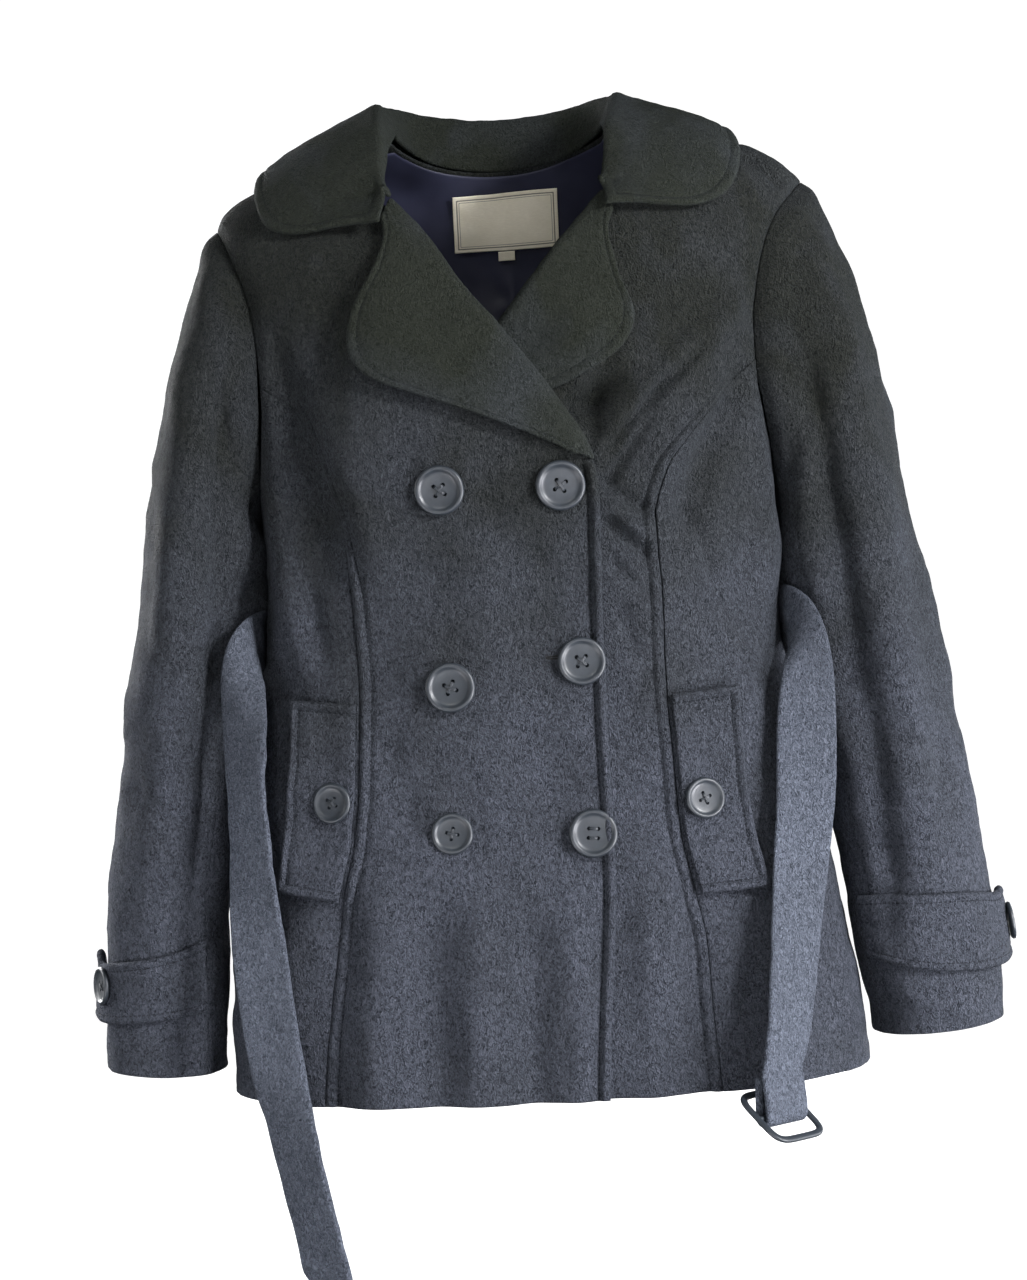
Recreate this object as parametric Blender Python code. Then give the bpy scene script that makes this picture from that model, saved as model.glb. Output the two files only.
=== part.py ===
"""A women's short double-breasted trench coat, filled out as if worn, with nobody inside.

The cloth pieces are walls on one torso shape and two sleeve shapes. The torso is worked out from a
table of levels: half-widths and depths of its rounded section, closed at the top by the roll of the
shoulders. Panels are cut from it along their seam lines, with a narrow gap at every seam. What lies on
a panel, such as a lapel, a flap or a strap, is made from the same points moved out.

Sizes here are in millimetres, X to the left-hand side of the wearer, Y to the back and Z up. The origin
is at the base of the wearer's neck. "right" and "left" are the wearer's own sides: right is -X.
"""

import math

import bmesh
import bpy
import numpy as np
from mathutils import Matrix

MM = 0.001
SEAM = 0.3  # gap between two cloth pieces sewn together
REST = 0.7  # gap under a piece that lies on a faceted, rounded panel
CLOTH = 3.0  # fleece with its interlining
DOUBLE = 3.4  # two layers pressed together, as in lapels
COLLAR_CLOTH = 4.0
STRAP_CLOTH = 4.4
LINING = 1.2
BELT_WIDTH = 42.0
BELT_CLOTH = 4.0
HEM = -640.0
BELT_LEVEL = -318.0  # middle of the belt at the waist
RIGHT, LEFT = -1, 1
FRONT, BACK = -1, 1

# ---------------------------------------------------------------------------
# Tables and the smooth curves through them
# ---------------------------------------------------------------------------


def table(columns, *rows):
    """A short table as a dictionary of its named columns."""
    return dict(zip(columns.split(), np.array(rows, float).T))


def smooth(knots, values):
    """A cubic curve through a table's rows that never swings past them."""
    values = np.asarray(values, float)
    steps = np.diff(knots).reshape(-1, *[1] * (values.ndim - 1))
    secants = np.diff(values, axis=0) / steps
    same = secants[1:] * secants[:-1] > 0
    total = np.where(same, secants[1:] + secants[:-1], 1.0)
    middle = np.where(same, 2 * secants[1:] * secants[:-1] / total, 0.0)
    slopes = np.concatenate([secants[:1], middle, secants[-1:]])

    def at(place):
        place = np.clip(np.asarray(place, float), knots[0], knots[-1])
        i = np.clip(np.searchsorted(knots, place, "right") - 1, 0, len(knots) - 2)
        step = (knots[i + 1] - knots[i]).reshape(place.shape + (1,) * (values.ndim - 1))
        t = (place - knots[i]).reshape(step.shape) / step
        start = values[i] * (1 + 2 * t) + slopes[i] * step * t
        end = values[i + 1] * (3 - 2 * t) + slopes[i + 1] * step * (t - 1)
        return start * (1 - t) ** 2 + end * t**2

    return at


def column(rows, knot, name):
    return smooth(rows[knot], rows[name])


def ease(share):
    """0 to 1 with level ends."""
    share = np.clip(share, 0.0, 1.0)
    return share * share * (3 - 2 * share)


def unit(vectors):
    vectors = np.asarray(vectors, float)
    return vectors / np.linalg.norm(vectors, axis=-1, keepdims=True)


# ---------------------------------------------------------------------------
# The torso
# ---------------------------------------------------------------------------

# Half-widths to each side and depths to the front and back, level by level. Above the armpits the
# half-widths belong to the rounded section that the armholes cut off.
TORSO = table(
    "z right left front back",
    (-650, 224, 235, 107, 97),
    (-600, 224, 230, 105, 97),
    (-550, 221, 222, 103, 95),
    (-490, 214, 213.5, 100, 92),
    (-430, 205, 204, 95, 87),
    (-370, 194.5, 192.5, 91, 79),
    (-318, 184.5, 184.5, 89, 72),
    (-280, 183, 183.5, 92, 74),
    (-240, 183, 184, 98, 80),
    (-200, 187, 188, 101, 86),
    (-150, 195, 196, 97, 90),
    (-100, 206, 206, 91, 90),
    (-50, 218, 219, 86, 87),
    (0, 232, 234, 80, 82),
    (60, 244, 246, 74, 76),
)
ROUNDNESS = 2.3  # exponent of the section: 2 is an ellipse, more is boxier
RIDGE_Y = 3.0  # the shoulder line lies this far behind the middle

# The top of the shoulders, across the coat.
SHOULDERS = table(
    "x z",
    (-240, -66),
    (-207, -22),
    (-184, -1),
    (-166, 8),
    (-130, 22),
    (-80, 36),
    (0, 50),
    (80, 38),
    (130, 28),
    (165, 20),
    (185, 13),
    (202, 5),
    (218, -8),
    (240, -32),
)
# How far down the shoulders' roll reaches, by distance from the middle.
ROLL = table("x reach", (0, 120), (80, 112), (150, 82), (215, 60), (250, 60))

right_width = column(TORSO, "z", "right")
left_width = column(TORSO, "z", "left")
DEPTH = {FRONT: column(TORSO, "z", "front"), BACK: column(TORSO, "z", "back")}
ridge = column(SHOULDERS, "x", "z")
roll_reach = column(ROLL, "x", "reach")


def half_width(x, z):
    return np.where(np.asarray(x) < 0, right_width(z), left_width(z))


def reach_squared(face, x, z):
    """The square of the torso's depth at x, z, which is negative outside its outline."""
    full = 1 - np.abs(x / half_width(x, z)) ** ROUNDNESS
    across = np.sign(full) * np.abs(full) ** (2 / ROUNDNESS)
    roll = roll_reach(np.abs(x))
    rise = np.maximum((z - ridge(x) + roll) / roll, 0.0)
    return DEPTH[face](z) ** 2 * across * (1 - rise**2)


def torso(face, x, z):
    """Points on the torso's front or back and their outward normals."""
    x, z = np.broadcast_arrays(np.asarray(x, float), np.asarray(z, float))
    reach = np.sqrt(np.maximum(reach_squared(face, x, z), (SEAM / 2) ** 2))
    points = np.stack([x, RIDGE_Y + face * reach, z], axis=-1)
    step = 0.4
    down_x = reach_squared(face, x - step, z) - reach_squared(face, x + step, z)
    down_z = reach_squared(face, x, z - step) - reach_squared(face, x, z + step)
    normals = np.stack([down_x / (2 * step), 2 * face * reach, down_z / (2 * step)], axis=-1)
    return points, unit(normals)


def level_z(x, level):
    """Height at x of a level, where 0 is the hem and 1 the top of the shoulders."""
    return HEM + (ridge(x) - HEM) * level


def at_levels(line, levels):
    """Where a line, given as x from z, crosses each level."""
    z = HEM * (1 - np.asarray(levels, float))
    for _ in range(60):
        z = 0.5 * z + 0.5 * level_z(line(z), levels)
    return line(z), z


# The levels shared by all torso panels, closer together over the shoulders' roll.
ARMPIT_LEVEL = 0.64
SIDE_FRONT_TOP = 0.78  # where the princess seams run into the armholes
LEVELS = np.array(
    [0, 0.08, 0.17, 0.255, 0.335, 0.405, 0.465, 0.525, 0.585, ARMPIT_LEVEL, 0.675, 0.71, 0.745]
    + [SIDE_FRONT_TOP, 0.82, 0.86, 0.9, 0.935, 0.965, 0.985, 0.996, 1]
)

# ---------------------------------------------------------------------------
# Seam lines on the torso
# ---------------------------------------------------------------------------

# Armholes: distance from the middle, from the shoulder's end (0) down to the armpit (1).
ARMHOLE = table(
    "share right_front left_front right_back left_back",
    (0, 207, 218, 207, 218),
    (0.06, 200, 207, 201, 209),
    (0.14, 192.5, 193, 195, 198),
    (0.25, 183.5, 182, 188, 190),
    (0.38, 178, 175, 183, 184),
    (0.5, 176.5, 171.5, 180.5, 181),
    (0.64, 176.5, 172, 180, 180.5),
    (0.78, 178.5, 176, 181, 182),
    (0.9, 181, 181.5, 182.5, 184),
    (1, 184, 185.8, 184, 185.8),
)
ARMPIT_Z = {side: float(level_z(side * 184.0, ARMPIT_LEVEL)) for side in (RIGHT, LEFT)}
SHOULDER_X = {RIGHT: 207.0, LEFT: 218.0}
SHOULDER_Z = {side: float(ridge(side * SHOULDER_X[side])) for side in (RIGHT, LEFT)}
ARMHOLE_X = {
    (RIGHT, FRONT): column(ARMHOLE, "share", "right_front"),
    (LEFT, FRONT): column(ARMHOLE, "share", "left_front"),
    (RIGHT, BACK): column(ARMHOLE, "share", "right_back"),
    (LEFT, BACK): column(ARMHOLE, "share", "left_back"),
}

# Princess seams, from the hem up to where they run into the armhole.
PRINCESS = table(
    "z right left",
    (-650, 155, 119),
    (-590, 148.5, 116),
    (-540, 141, 114),
    (-500, 133.5, 108),
    (-460, 123, 100),
    (-410, 118, 97.5),
    (-360, 115.5, 96),
    (-300, 116.5, 96),
    (-250, 123.5, 94.5),
    (-217, 134, 103),
    (-190, 142, 123.5),
    (-165, 155, 149),
    (-146, 172, 166),
    (-128, 200, 190),
    (-110, 230, 230),
)
PRINCESS_X = {
    RIGHT: column(PRINCESS, "z", "right"),
    LEFT: column(PRINCESS, "z", "left"),
}

# Inner edges of the two fronts: front edge, then the lapel's roll, then the neck up to the shoulder
# seam. The right front laps over the left one.
FRONT_EDGE = {
    RIGHT: table(
        "z x",
        (-650, 41),
        (-590, 45),
        (-540, 50),
        (-486, 53.5),
        (-410, 53.5),
        (-320, 54),
        (-240, 55.5),
        (-212, 53.5),
        (-195, 45),
        (-168, 29),
        (-144, 12),
        (-117, -5.5),
        (-100, -22),
        (-70, -44),
        (-41, -63.5),
        (-20, -79),
        (-8, -82),
        (15, -80),
        (37, -76),
        (60, -74),
    ),
    LEFT: table(
        "z x",
        (-650, -48),
        (-240, -50),
        (-212, -48),
        (-185, -41),
        (-160, -32),
        (-135, -19),
        (-113, -5),
        (-90, 15),
        (-60, 41),
        (-32, 65.5),
        (-16, 74.5),
        (8, 78),
        (37, 76),
        (60, 74),
    ),
}
EDGE_X = {side: column(FRONT_EDGE[side], "z", "x") for side in (RIGHT, LEFT)}
NECK_X = 77.0  # where the shoulder seam meets the neck
NECK_BACK_Z = 22.0  # middle of the back neckline
NECK_SIDE_Z = 37.0
OVERLAP_FADE = 64.0  # the under front comes level with the upper one over this distance


def armhole_line(side, face, inset=SEAM / 2):
    """x from z along an armhole, and along the side of the torso below it."""
    top, bottom = SHOULDER_Z[side], ARMPIT_Z[side]

    def line(z):
        share = (top - z) / (top - bottom)
        above = ARMHOLE_X[side, face](share) - inset
        return side * np.where(share > 1, half_width(side, z), above)

    return line


def princess_line(side, outward):
    """x from z along a princess seam and the armhole above it. outward picks the seam's side."""
    armhole = armhole_line(side, FRONT)

    def line(z):
        seam = PRINCESS_X[side](z) + outward * SEAM / 2
        return side * np.minimum(seam, np.abs(armhole(z)))

    return line


# How far the fronts' cloth stops short of that edge, where the lapel or the collar takes over.
EDGE_INSET = {
    RIGHT: table("z inset", (-650, 0), (-214, 0), (-196, 3.4), (60, 3.4)),
    LEFT: table("z inset", (-650, 0), (-160, 0), (-132, 3.4), (60, 3.4)),
}


def edge_line(side):
    """x from z along a front's inner edge, shortened where it is wrapped by another piece."""
    inset = column(EDGE_INSET[side], "z", "inset")
    return lambda z: EDGE_X[side](z) + side * inset(z)


def overlap_depth(x, z):
    """How far the left front lies below the torso, to leave room for the right front and its lapel."""
    beyond = x - EDGE_X[RIGHT](z)
    lapped = 1 - ease(beyond / OVERLAP_FADE)
    lapel_room = ease((z + 245) / 60) * (1 - ease((z + 125) / 60))
    return lapped * (CLOTH + 1.2 + 8.3 * lapel_room)


def left_front(x, z):
    """Points and normals of the left front, which dips under the right one."""
    points, normals = torso(FRONT, x, z)
    return points - normals * overlap_depth(x, z)[..., None], normals


def right_front(x, z):
    return torso(FRONT, x, z)


def torso_back(x, z):
    return torso(BACK, x, z)


def spread(inner, outer, columns, levels):
    """x and z of a panel's points, spaced by angle around the torso between two lines."""
    shares = np.linspace(0, 1, columns + 1)
    inner_x, inner_z = at_levels(inner, levels)
    outer_x, outer_z = at_levels(outer, levels)
    angle = [
        np.arcsin(np.clip(x / half_width(x, z), -1, 1))
        for x, z in ((inner_x, inner_z), (outer_x, outer_z))
    ]
    turn = angle[0][:, None] * (1 - shares) + angle[1][:, None] * shares
    x = inner_x[:, None] * (1 - shares) + outer_x[:, None] * shares
    for _ in range(30):
        x = half_width(x, level_z(x, levels[:, None])) * np.sin(turn)
    return x, level_z(x, levels[:, None])


# ---------------------------------------------------------------------------
# The sleeves
# ---------------------------------------------------------------------------

# Sections of a sleeve from the cap to the cuff: its innermost and outermost points, the middle of its
# depth and its half-depth. The armhole comes before the first row.
SLEEVE = {
    RIGHT: table(
        "in_x in_z out_x out_z y depth",
        (186.5, -236, 217, -40, 1, 60),
        (187.5, -247, 231, -85, 2, 61),
        (188.5, -260, 244, -128, 3, 60),
        (190.5, -276, 255.5, -175, 4, 59),
        (193, -294, 264, -215, 5, 58),
        (195.5, -315, 272.3, -256, 6, 57),
        (199.5, -352, 282.5, -322, 7, 55),
        (207.5, -414, 294, -402, 7, 52),
        (217, -472, 303.5, -465, 6, 49),
        (224.5, -532, 311.5, -524, 5, 46.5),
        (228.5, -582, 313.5, -573, 4, 45),
        (229.5, -625, 315.8, -618.5, 4, 44.5),
    ),
    LEFT: table(
        "in_x in_z out_x out_z y depth",
        (188, -242, 230, -28, 1, 60),
        (188.7, -252, 247, -74, 2, 61),
        (189.5, -264, 259.5, -114, 3, 60),
        (191.5, -279, 268, -156, 4, 59),
        (193.5, -296, 276.5, -205, 5, 58),
        (196, -317, 285, -252, 6, 57),
        (200.5, -354, 299, -322, 7, 56),
        (206.5, -415, 311, -405, 7, 54),
        (215.5, -472, 320.5, -467, 6, 51),
        (224.5, -532, 326.5, -524, 5, 48.5),
        (232, -582, 331.5, -573, 4, 47),
        (236.5, -622, 332, -614, 4, 46.5),
    ),
}
# Sleeve seams as numbers of torso levels down from the shoulder to the front and to the back.
FRONT_SEAM = 11
BACK_SEAM = 9
SLEEVE_SEAM_RADIUS = 28.0  # of the tightest bend at the seams, which sets the angle of their gap
SLEEVE_STATIONS = np.array([0, 0.6, 1.3, 2.1, 3, 4.2, 5.6, 7, 8.1, 9.3, 10.6, 12])


def wrapped(angle):
    """The same angle between -180 and 180."""
    angle = np.asarray(angle, float)
    return (angle + 180) % 360 - 180


def armhole_point(side, angle):
    """The armhole's curve by angle: 0 at the shoulder, 180 at the armpit, positive by the front."""
    angle = wrapped(angle)
    share = (1 - np.cos(np.radians(angle))) / 2
    z = SHOULDER_Z[side] + share * (ARMPIT_Z[side] - SHOULDER_Z[side])
    points = []
    for face in (FRONT, BACK):
        points.append(torso(face, side * ARMHOLE_X[side, face](share), z)[0])
    return np.where((angle >= 0)[..., None], points[0], points[1])


def sleeve_rings(side, angles):
    """Control rings of a sleeve: the armhole and the sections of its table."""
    rows = SLEEVE[side]
    turn = np.radians(angles)
    inner = np.stack([side * rows["in_x"], rows["y"], rows["in_z"]], axis=-1)[:, None]
    outer = np.stack([side * rows["out_x"], rows["y"], rows["out_z"]], axis=-1)[:, None]
    forward = np.array([0.0, FRONT, 0.0]) * rows["depth"][:, None, None]
    rings = (inner + outer) / 2 + (outer - inner) / 2 * np.cos(turn)[:, None]
    rings = rings + forward * np.sin(turn)[:, None]
    start = armhole_point(side, angles) + [side * SEAM / 2, 0, 0]
    return np.concatenate([start[None], rings])


def sleeve_points(side, stations, angles):
    rings = sleeve_rings(side, np.asarray(angles, float))
    return smooth(np.arange(len(rings), dtype=float), rings)(stations)


def sleeve(side, stations, angles):
    """Points and outward normals of a sleeve on a grid of stations and angles."""
    stations, angles = np.asarray(stations, float), np.asarray(angles, float)
    points = sleeve_points(side, stations, angles)
    last = len(SLEEVE[side]["y"])
    before = sleeve_points(side, np.maximum(stations - 0.05, 0), angles)
    after = sleeve_points(side, np.minimum(stations + 0.05, last), angles)
    around = sleeve_points(side, stations, angles + 2) - sleeve_points(side, stations, angles - 2)
    normals = unit(np.cross(after - before, around)) * -side
    return points, normals


def seam_normals(side, angles):
    """Thickness directions at the armhole of the torso and of the sleeve, shared where both bulge."""
    angles = wrapped(angles)
    curve = armhole_point(side, angles)
    faces = [torso(face, curve[..., 0], curve[..., 2])[1] for face in (FRONT, BACK)]
    body = np.where((angles >= 0)[..., None], faces[0], faces[1])
    arm = sleeve(side, [0.0], angles)[1][0]
    agree = np.sum(body * arm, axis=-1, keepdims=True)
    share = ease(agree / 0.6)
    both = unit(body + arm + 1e-6)
    return unit(body + (both - body) * share), unit(arm + (both - arm) * share)


def sleeve_angles(side):
    """Angles of the sleeve's columns, which meet the rows of the torso panels at the armhole."""
    levels = LEVELS[LEVELS >= ARMPIT_LEVEL][::-1]
    angles = []
    for face in (FRONT, BACK):
        z = at_levels(armhole_line(side, face), levels)[1]
        share = (SHOULDER_Z[side] - z) / (SHOULDER_Z[side] - ARMPIT_Z[side])
        angles.append(-face * np.degrees(np.arccos(np.clip(1 - 2 * share, -1, 1))))
    return angles


def on_sleeve(side, angles, heights):
    """Points and normals of a sleeve at given angles and heights near the cuff."""
    stations = np.linspace(7, 12, 60)
    heights = np.asarray(heights, float)
    points, normals = np.empty(heights.shape + (3,)), np.empty(heights.shape + (3,))
    for i, angle in enumerate(angles):
        line, line_normals = sleeve(side, stations, [angle])
        falling = -line[:, 0, 2]
        for axis in range(3):
            points[:, i, axis] = np.interp(-heights[:, i], falling, line[:, 0, axis])
            normals[:, i, axis] = np.interp(-heights[:, i], falling, line_normals[:, 0, axis])
    return points, unit(normals)


# ---------------------------------------------------------------------------
# Lapels, collar, flaps, straps and belt
# ---------------------------------------------------------------------------

# A lapel from its top to its lower tip: points on the roll line and on its outer edge.
LAPEL = {
    RIGHT: table(
        "roll_x roll_z edge_x edge_z",
        (-77, -23, -83, -37),
        (-70.5, -32.5, -81, -49.5),
        (-63, -41.5, -85, -62),
        (-53, -55, -90.5, -74),
        (-44, -70, -98, -85),
        (-30, -90, -107.5, -106),
        (-15, -108, -107.5, -128),
        (2, -131, -92, -147),
        (17, -152, -58, -162),
        (32, -173, -20, -177),
        (44, -194, 18, -193),
        (51, -208, 40, -203.5),
    ),
    LEFT: table(
        "roll_x roll_z edge_x edge_z",
        (71, -24.5, 75.5, -39),
        (64.5, -32.5, 71, -51),
        (54.5, -45, 73, -68),
        (41, -60, 78, -90),
        (28, -75, 84, -106),
        (15, -90, 82.5, -122),
        (5, -102, 71.5, -137),
        (-5, -113, 50, -149.5),
        (-13, -123, 30, -158),
        (-20, -133, 8, -161),
    ),
}
# The lapel's section: distance from the roll line and height above the front, for the short facing
# behind the front, the fold around its edge and the start of the lapel itself. The plain section is
# for where the other front lies behind and there is no facing.
LAPEL_FOLD = table(
    "across lift plain_across plain_lift",
    (13, -6.6, -2.5, -2.2),
    (4, -6.6, -2.9, -1.6),
    (-1.8, -5.0, -3.1, -1.0),
    (-3.6, -1.6, -3.1, -0.2),
    (-1.5, 1.9, -1.5, 1.9),
    (4, 3.4, 3.4, 3.4),
)
LAPEL_ACROSS = table("share lift", (0.32, 4.2), (0.64, 4.8), (1, 4.2))

# The collar from the middle of the back (0) to its front end (12): where its stand meets the neckline,
# the top of its roll, and the outer edge of its fall, as a distance down from the shoulder's ridge and
# a lift off the torso. behind is 1 for the back of the ridge and -1 for the front.
COLLAR = table(
    "base_x base_z roll_right roll_left roll_y roll_z edge_right edge_left drop behind lift",
    (0, 22, 0, 0, 73, 63, 0, 0, 66, 1, 4),
    (26, 23.5, 29, 29, 70, 64, 46, 46, 62, 1, 4),
    (50, 28, 56, 56, 58, 65.5, 91, 91, 46, 1, 4),
    (65, 34.5, 76, 77, 38, 66, 131, 130, 24, 1, 6),
    (72.3, 38, 87, 88, 14, 62, 159, 155, 8, 1, 7),
    (74.5, 32, 90, 88, -8, 54, 171, 166, 2, -1, 6.5),
    (77, 22, 89, 84, -26, 42, 172, 168, 10, -1, 4.6),
    (78, 12, 88, 81, -40, 29, 169, 166, 27, -1, 3.8),
    (79, 4, 87, 78, -50, 16, 162, 159, 44, -1, 3.8),
    (79.5, -2, 86, 75, -57, 5, 148, 146, 57, -1, 4),
    (79.5, -6, 84.5, 73.5, -62, -4, 124, 128, 66, -1, 6),
    (78, -11, 82.5, 71.5, -67, -11, 103, 100, 72, -1, 9.2),
    (76, -17, 80.5, 69, -75.5, -17.5, 82, 69.5, 79, -1, 13.8),
)
COLLAR_STATIONS = np.array([0, 1, 2, 3, 3.9, 4.8, 5.8, 7, 8.2, 9.3, 10.3, 11.2, 12])
COLLAR_STAND_SHARES = np.array([0, 0.4, 0.75, 0.93])
COLLAR_FALL_SHARES = np.array([0, 0.08, 0.2, 0.42, 0.7, 1])

# Pocket flaps from top to bottom: the seam edge follows the princess seam, the other edge is free.
FLAP = {
    RIGHT: table(
        "seam_z free_x free_z",
        (-366, -159, -362),
        (-400, -161.5, -397),
        (-432, -165, -431),
        (-466, -169, -464),
        (-501, -174.5, -493),
    ),
    LEFT: table(
        "seam_z free_x free_z",
        (-370, 141, -366.5),
        (-402, 142.5, -400),
        (-436, 143.5, -434),
        (-470, 147, -469),
        (-507, 154.5, -504.5),
    ),
}
FLAP_CLOTH = 4.0

# Cuff straps from the front seam around the outside to the free end with the button.
STRAP = {
    RIGHT: table(
        "angle top bottom lift",
        (-14, -547, -570, 5.2),
        (-8, -538, -579, 4.6),
        (4, -535, -583, 3.4),
        (24, -542.5, -584.5, 1.6),
        (45, -541, -584, 0.9),
        (85, -537, -582, 0.9),
        (110, -533, -580.5, 0.9),
        (136, -528, -578, 0.9),
    ),
    LEFT: table(
        "angle top bottom lift",
        (-14, -533, -565, 5.2),
        (-8, -526, -571, 4.6),
        (4, -523.5, -574, 3.4),
        (24, -525, -575.5, 1.8),
        (50, -522, -576, 0.9),
        (85, -520, -575, 0.9),
        (116, -520, -571, 0.9),
        (150, -521.5, -564, 0.9),
    ),
}

# The belt's two hanging ends from the side of the waist down: the middle of the belt and the
# direction of its width, which swings from upright to level as the belt flops over.
BELT_END = {
    RIGHT: table(
        "x y z wide_x wide_y wide_z",
        (-189.3, -9, -318, 0.1, 0, 0.99),
        (-190, -24, -319.5, 0.04, 0, 1),
        (-192, -38, -324.5, -0.22, -0.05, 0.97),
        (-194.5, -50, -335.5, -0.6, 0.1, 0.79),
        (-196.5, -58, -354, -0.78, 0.35, 0.5),
        (-197, -62, -385, -0.75, 0.6, 0.2),
        (-197, -65, -430, -0.69, 0.72, 0),
        (-195.5, -71, -483, -0.79, 0.61, 0),
        (-191.5, -80, -531, -0.93, 0.37, 0),
        (-182.5, -92, -607, -0.94, 0.34, 0),
        (-174.5, -97, -649, -0.83, 0.55, 0),
        (-164.5, -99, -698, -0.8, 0.6, 0),
        (-155.5, -100, -745, -0.82, 0.57, 0.08),
        (-153, -100, -757, -0.82, 0.56, -0.12),
    ),
    LEFT: table(
        "x y z wide_x wide_y wide_z",
        (189.6, -9, -318, -0.1, 0, 0.99),
        (190.5, -24, -319.5, -0.04, 0, 1),
        (192, -38, -324.5, 0.24, -0.05, 0.97),
        (194, -50, -335.5, 0.62, 0.05, 0.78),
        (194, -58, -354, 0.85, 0.1, 0.5),
        (192, -64, -385, 0.97, 0, 0.2),
        (188, -73, -436, 0.99, 0.12, 0),
        (180, -84, -488, 0.93, 0.32, 0),
        (173.5, -94, -535, 0.86, 0.5, 0),
        (166, -105, -585, 0.78, 0.62, 0),
        (160.5, -112, -612, 0.74, 0.67, -0.02),
    ),
}
BUCKLE_AXIS_POINT = np.array([154.4, -117.0, -652.0])
BUCKLE_AXIS = unit([0.71, 0.70, -0.06])
BUCKLE_SPAN = unit([0.54, -0.60, -0.58])  # from the middle bar to the near bar, as it hangs
BUCKLE_HALF_LENGTH = 27.0
BUCKLE_HALF_SPAN = 23.5
BUCKLE_BAR_WIDTH = 5.0
BUCKLE_BAR_DEPTH = 3.2
BUCKLE_PIN = 1.9
# The belt's end around the middle bar: distance to the front of the bar and height above it.
BELT_FOLD = table(
    "out up",
    (1.0, 28),
    (3.0, 15),
    (4.4, 5),
    (4.4, 0),
    (3.2, -3.1),
    (0, -4.5),
    (-3.2, -3.1),
    (-4.4, 0),
    (-4.6, 8),
    (-4.7, 17),
    (-4.6, 26),
)

# A thread loop at the side seam: height from the belt's middle and distance out from the seam.
BELT_LOOP = table(
    "height out",
    (31, 1.6),
    (28, 5.2),
    (21, 8),
    (0, 9),
    (-21, 8),
    (-28, 5.2),
    (-31, 1.6),
)

# Buttons: place across and up the front, radius, and a lift that seats each on its faceted panel.
FRONT_BUTTONS = (
    ("button_top_right", -52.0, -224.0, 17.0, -0.3),
    ("button_top_left", 29.5, -225.0, 17.0, 0.0),
    ("button_waist_right", -51.5, -358.0, 17.0, 0.3),
    ("button_waist_left", 38.0, -344.5, 16.5, 0.7),
    ("button_low_right", -55.5, -456.5, 14.2, 0.1),
    ("button_low_left", 39.5, -461.0, 16.5, 0.1),
)
POCKET_BUTTONS = (
    ("button_pocket_right", RIGHT, 0.31, 0.51, 14.0),
    ("button_pocket_left", LEFT, 0.34, 0.55, 14.0),
)
CUFF_BUTTONS = (
    ("button_cuff_right", RIGHT, 31.0, -558.0, 13.5),
    ("button_cuff_left", LEFT, 6.0, -549.0, 13.5),
)
BUTTON_GAP = 0.3
# A button's half section in shares of its radius: distance from the middle and height.
BUTTON_PROFILE = table(
    "radius height",
    (0.88, 0.0),
    (1.0, 0.13),
    (0.96, 0.24),
    (0.84, 0.27),
    (0.72, 0.17),
    (0.3, 0.13),
)
BUTTON_SIDES = 16
BUTTON_HOLE = 0.075
BUTTON_HOLE_OFFSET = 0.19

# ---------------------------------------------------------------------------
# Meshes and materials
# ---------------------------------------------------------------------------

FLEECE = (0.028, 0.031, 0.036)
FLEECE_LIT = (0.045, 0.051, 0.063)
SATIN = (0.012, 0.013, 0.028)
CREAM = (0.58, 0.52, 0.40)
PLASTIC = (0.075, 0.09, 0.11)
THREAD = (0.02, 0.022, 0.026)


def material(name, colour, roughness):
    made = bpy.data.materials.new(name)
    made.use_nodes = True
    shader = made.node_tree.nodes["Principled BSDF"]
    shader.inputs["Base Color"].default_value = (*colour, 1.0)
    shader.inputs["Roughness"].default_value = roughness
    shader.inputs["Metallic"].default_value = 0.0
    made.diffuse_color = (*colour, 1.0)
    return made


def add_object(name, mesh, colour, roughness):
    mesh.materials.clear()
    mesh.materials.append(material(name + "_material", colour, roughness))
    made = bpy.data.objects.new(name, mesh)
    bpy.context.scene.collection.objects.link(made)
    made.parent = COAT
    return made


def closed_mesh(name, points, faces):
    """A mesh in metres from points in millimetres, with its faces turned to the outside."""
    mesh = bpy.data.meshes.new(name)
    mesh.from_pydata((np.asarray(points) * MM).tolist(), [], faces)
    work = bmesh.new()
    work.from_mesh(mesh)
    bmesh.ops.recalc_face_normals(work, faces=work.faces)
    work.to_mesh(mesh)
    work.free()
    mesh.shade_smooth()
    mesh.set_sharp_from_angle(angle=math.radians(50))
    return mesh


def wall(name, outer, inner, colour, roughness=0.95):
    """A closed wall between two grids of points with the same rows and columns."""
    rows, columns = outer.shape[:2]
    number = np.arange(rows * columns).reshape(rows, columns)
    under = number + rows * columns
    faces = []
    for r in range(rows - 1):
        for c in range(columns - 1):
            quad = (number[r, c], number[r, c + 1], number[r + 1, c + 1], number[r + 1, c])
            faces.append(tuple(int(i) for i in quad))
            faces.append(tuple(int(i) + rows * columns for i in reversed(quad)))
    border = list(number[0]) + list(number[1:, -1]) + list(number[-1, -2::-1])
    border += list(number[-2:0:-1, 0])
    for a, b in zip(border, border[1:] + border[:1]):
        faces.append((int(b), int(a), int(under.flat[a]), int(under.flat[b])))
    points = np.concatenate([outer.reshape(-1, 3), inner.reshape(-1, 3)])
    return add_object(name, closed_mesh(name, points, faces), colour, roughness)


def grid_normals(points):
    """Normals of a grid of points from its neighbours, to the left of its rows as they run."""
    down = np.gradient(points, axis=0)
    across = np.gradient(points, axis=1)
    return unit(np.cross(across, down))


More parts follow.
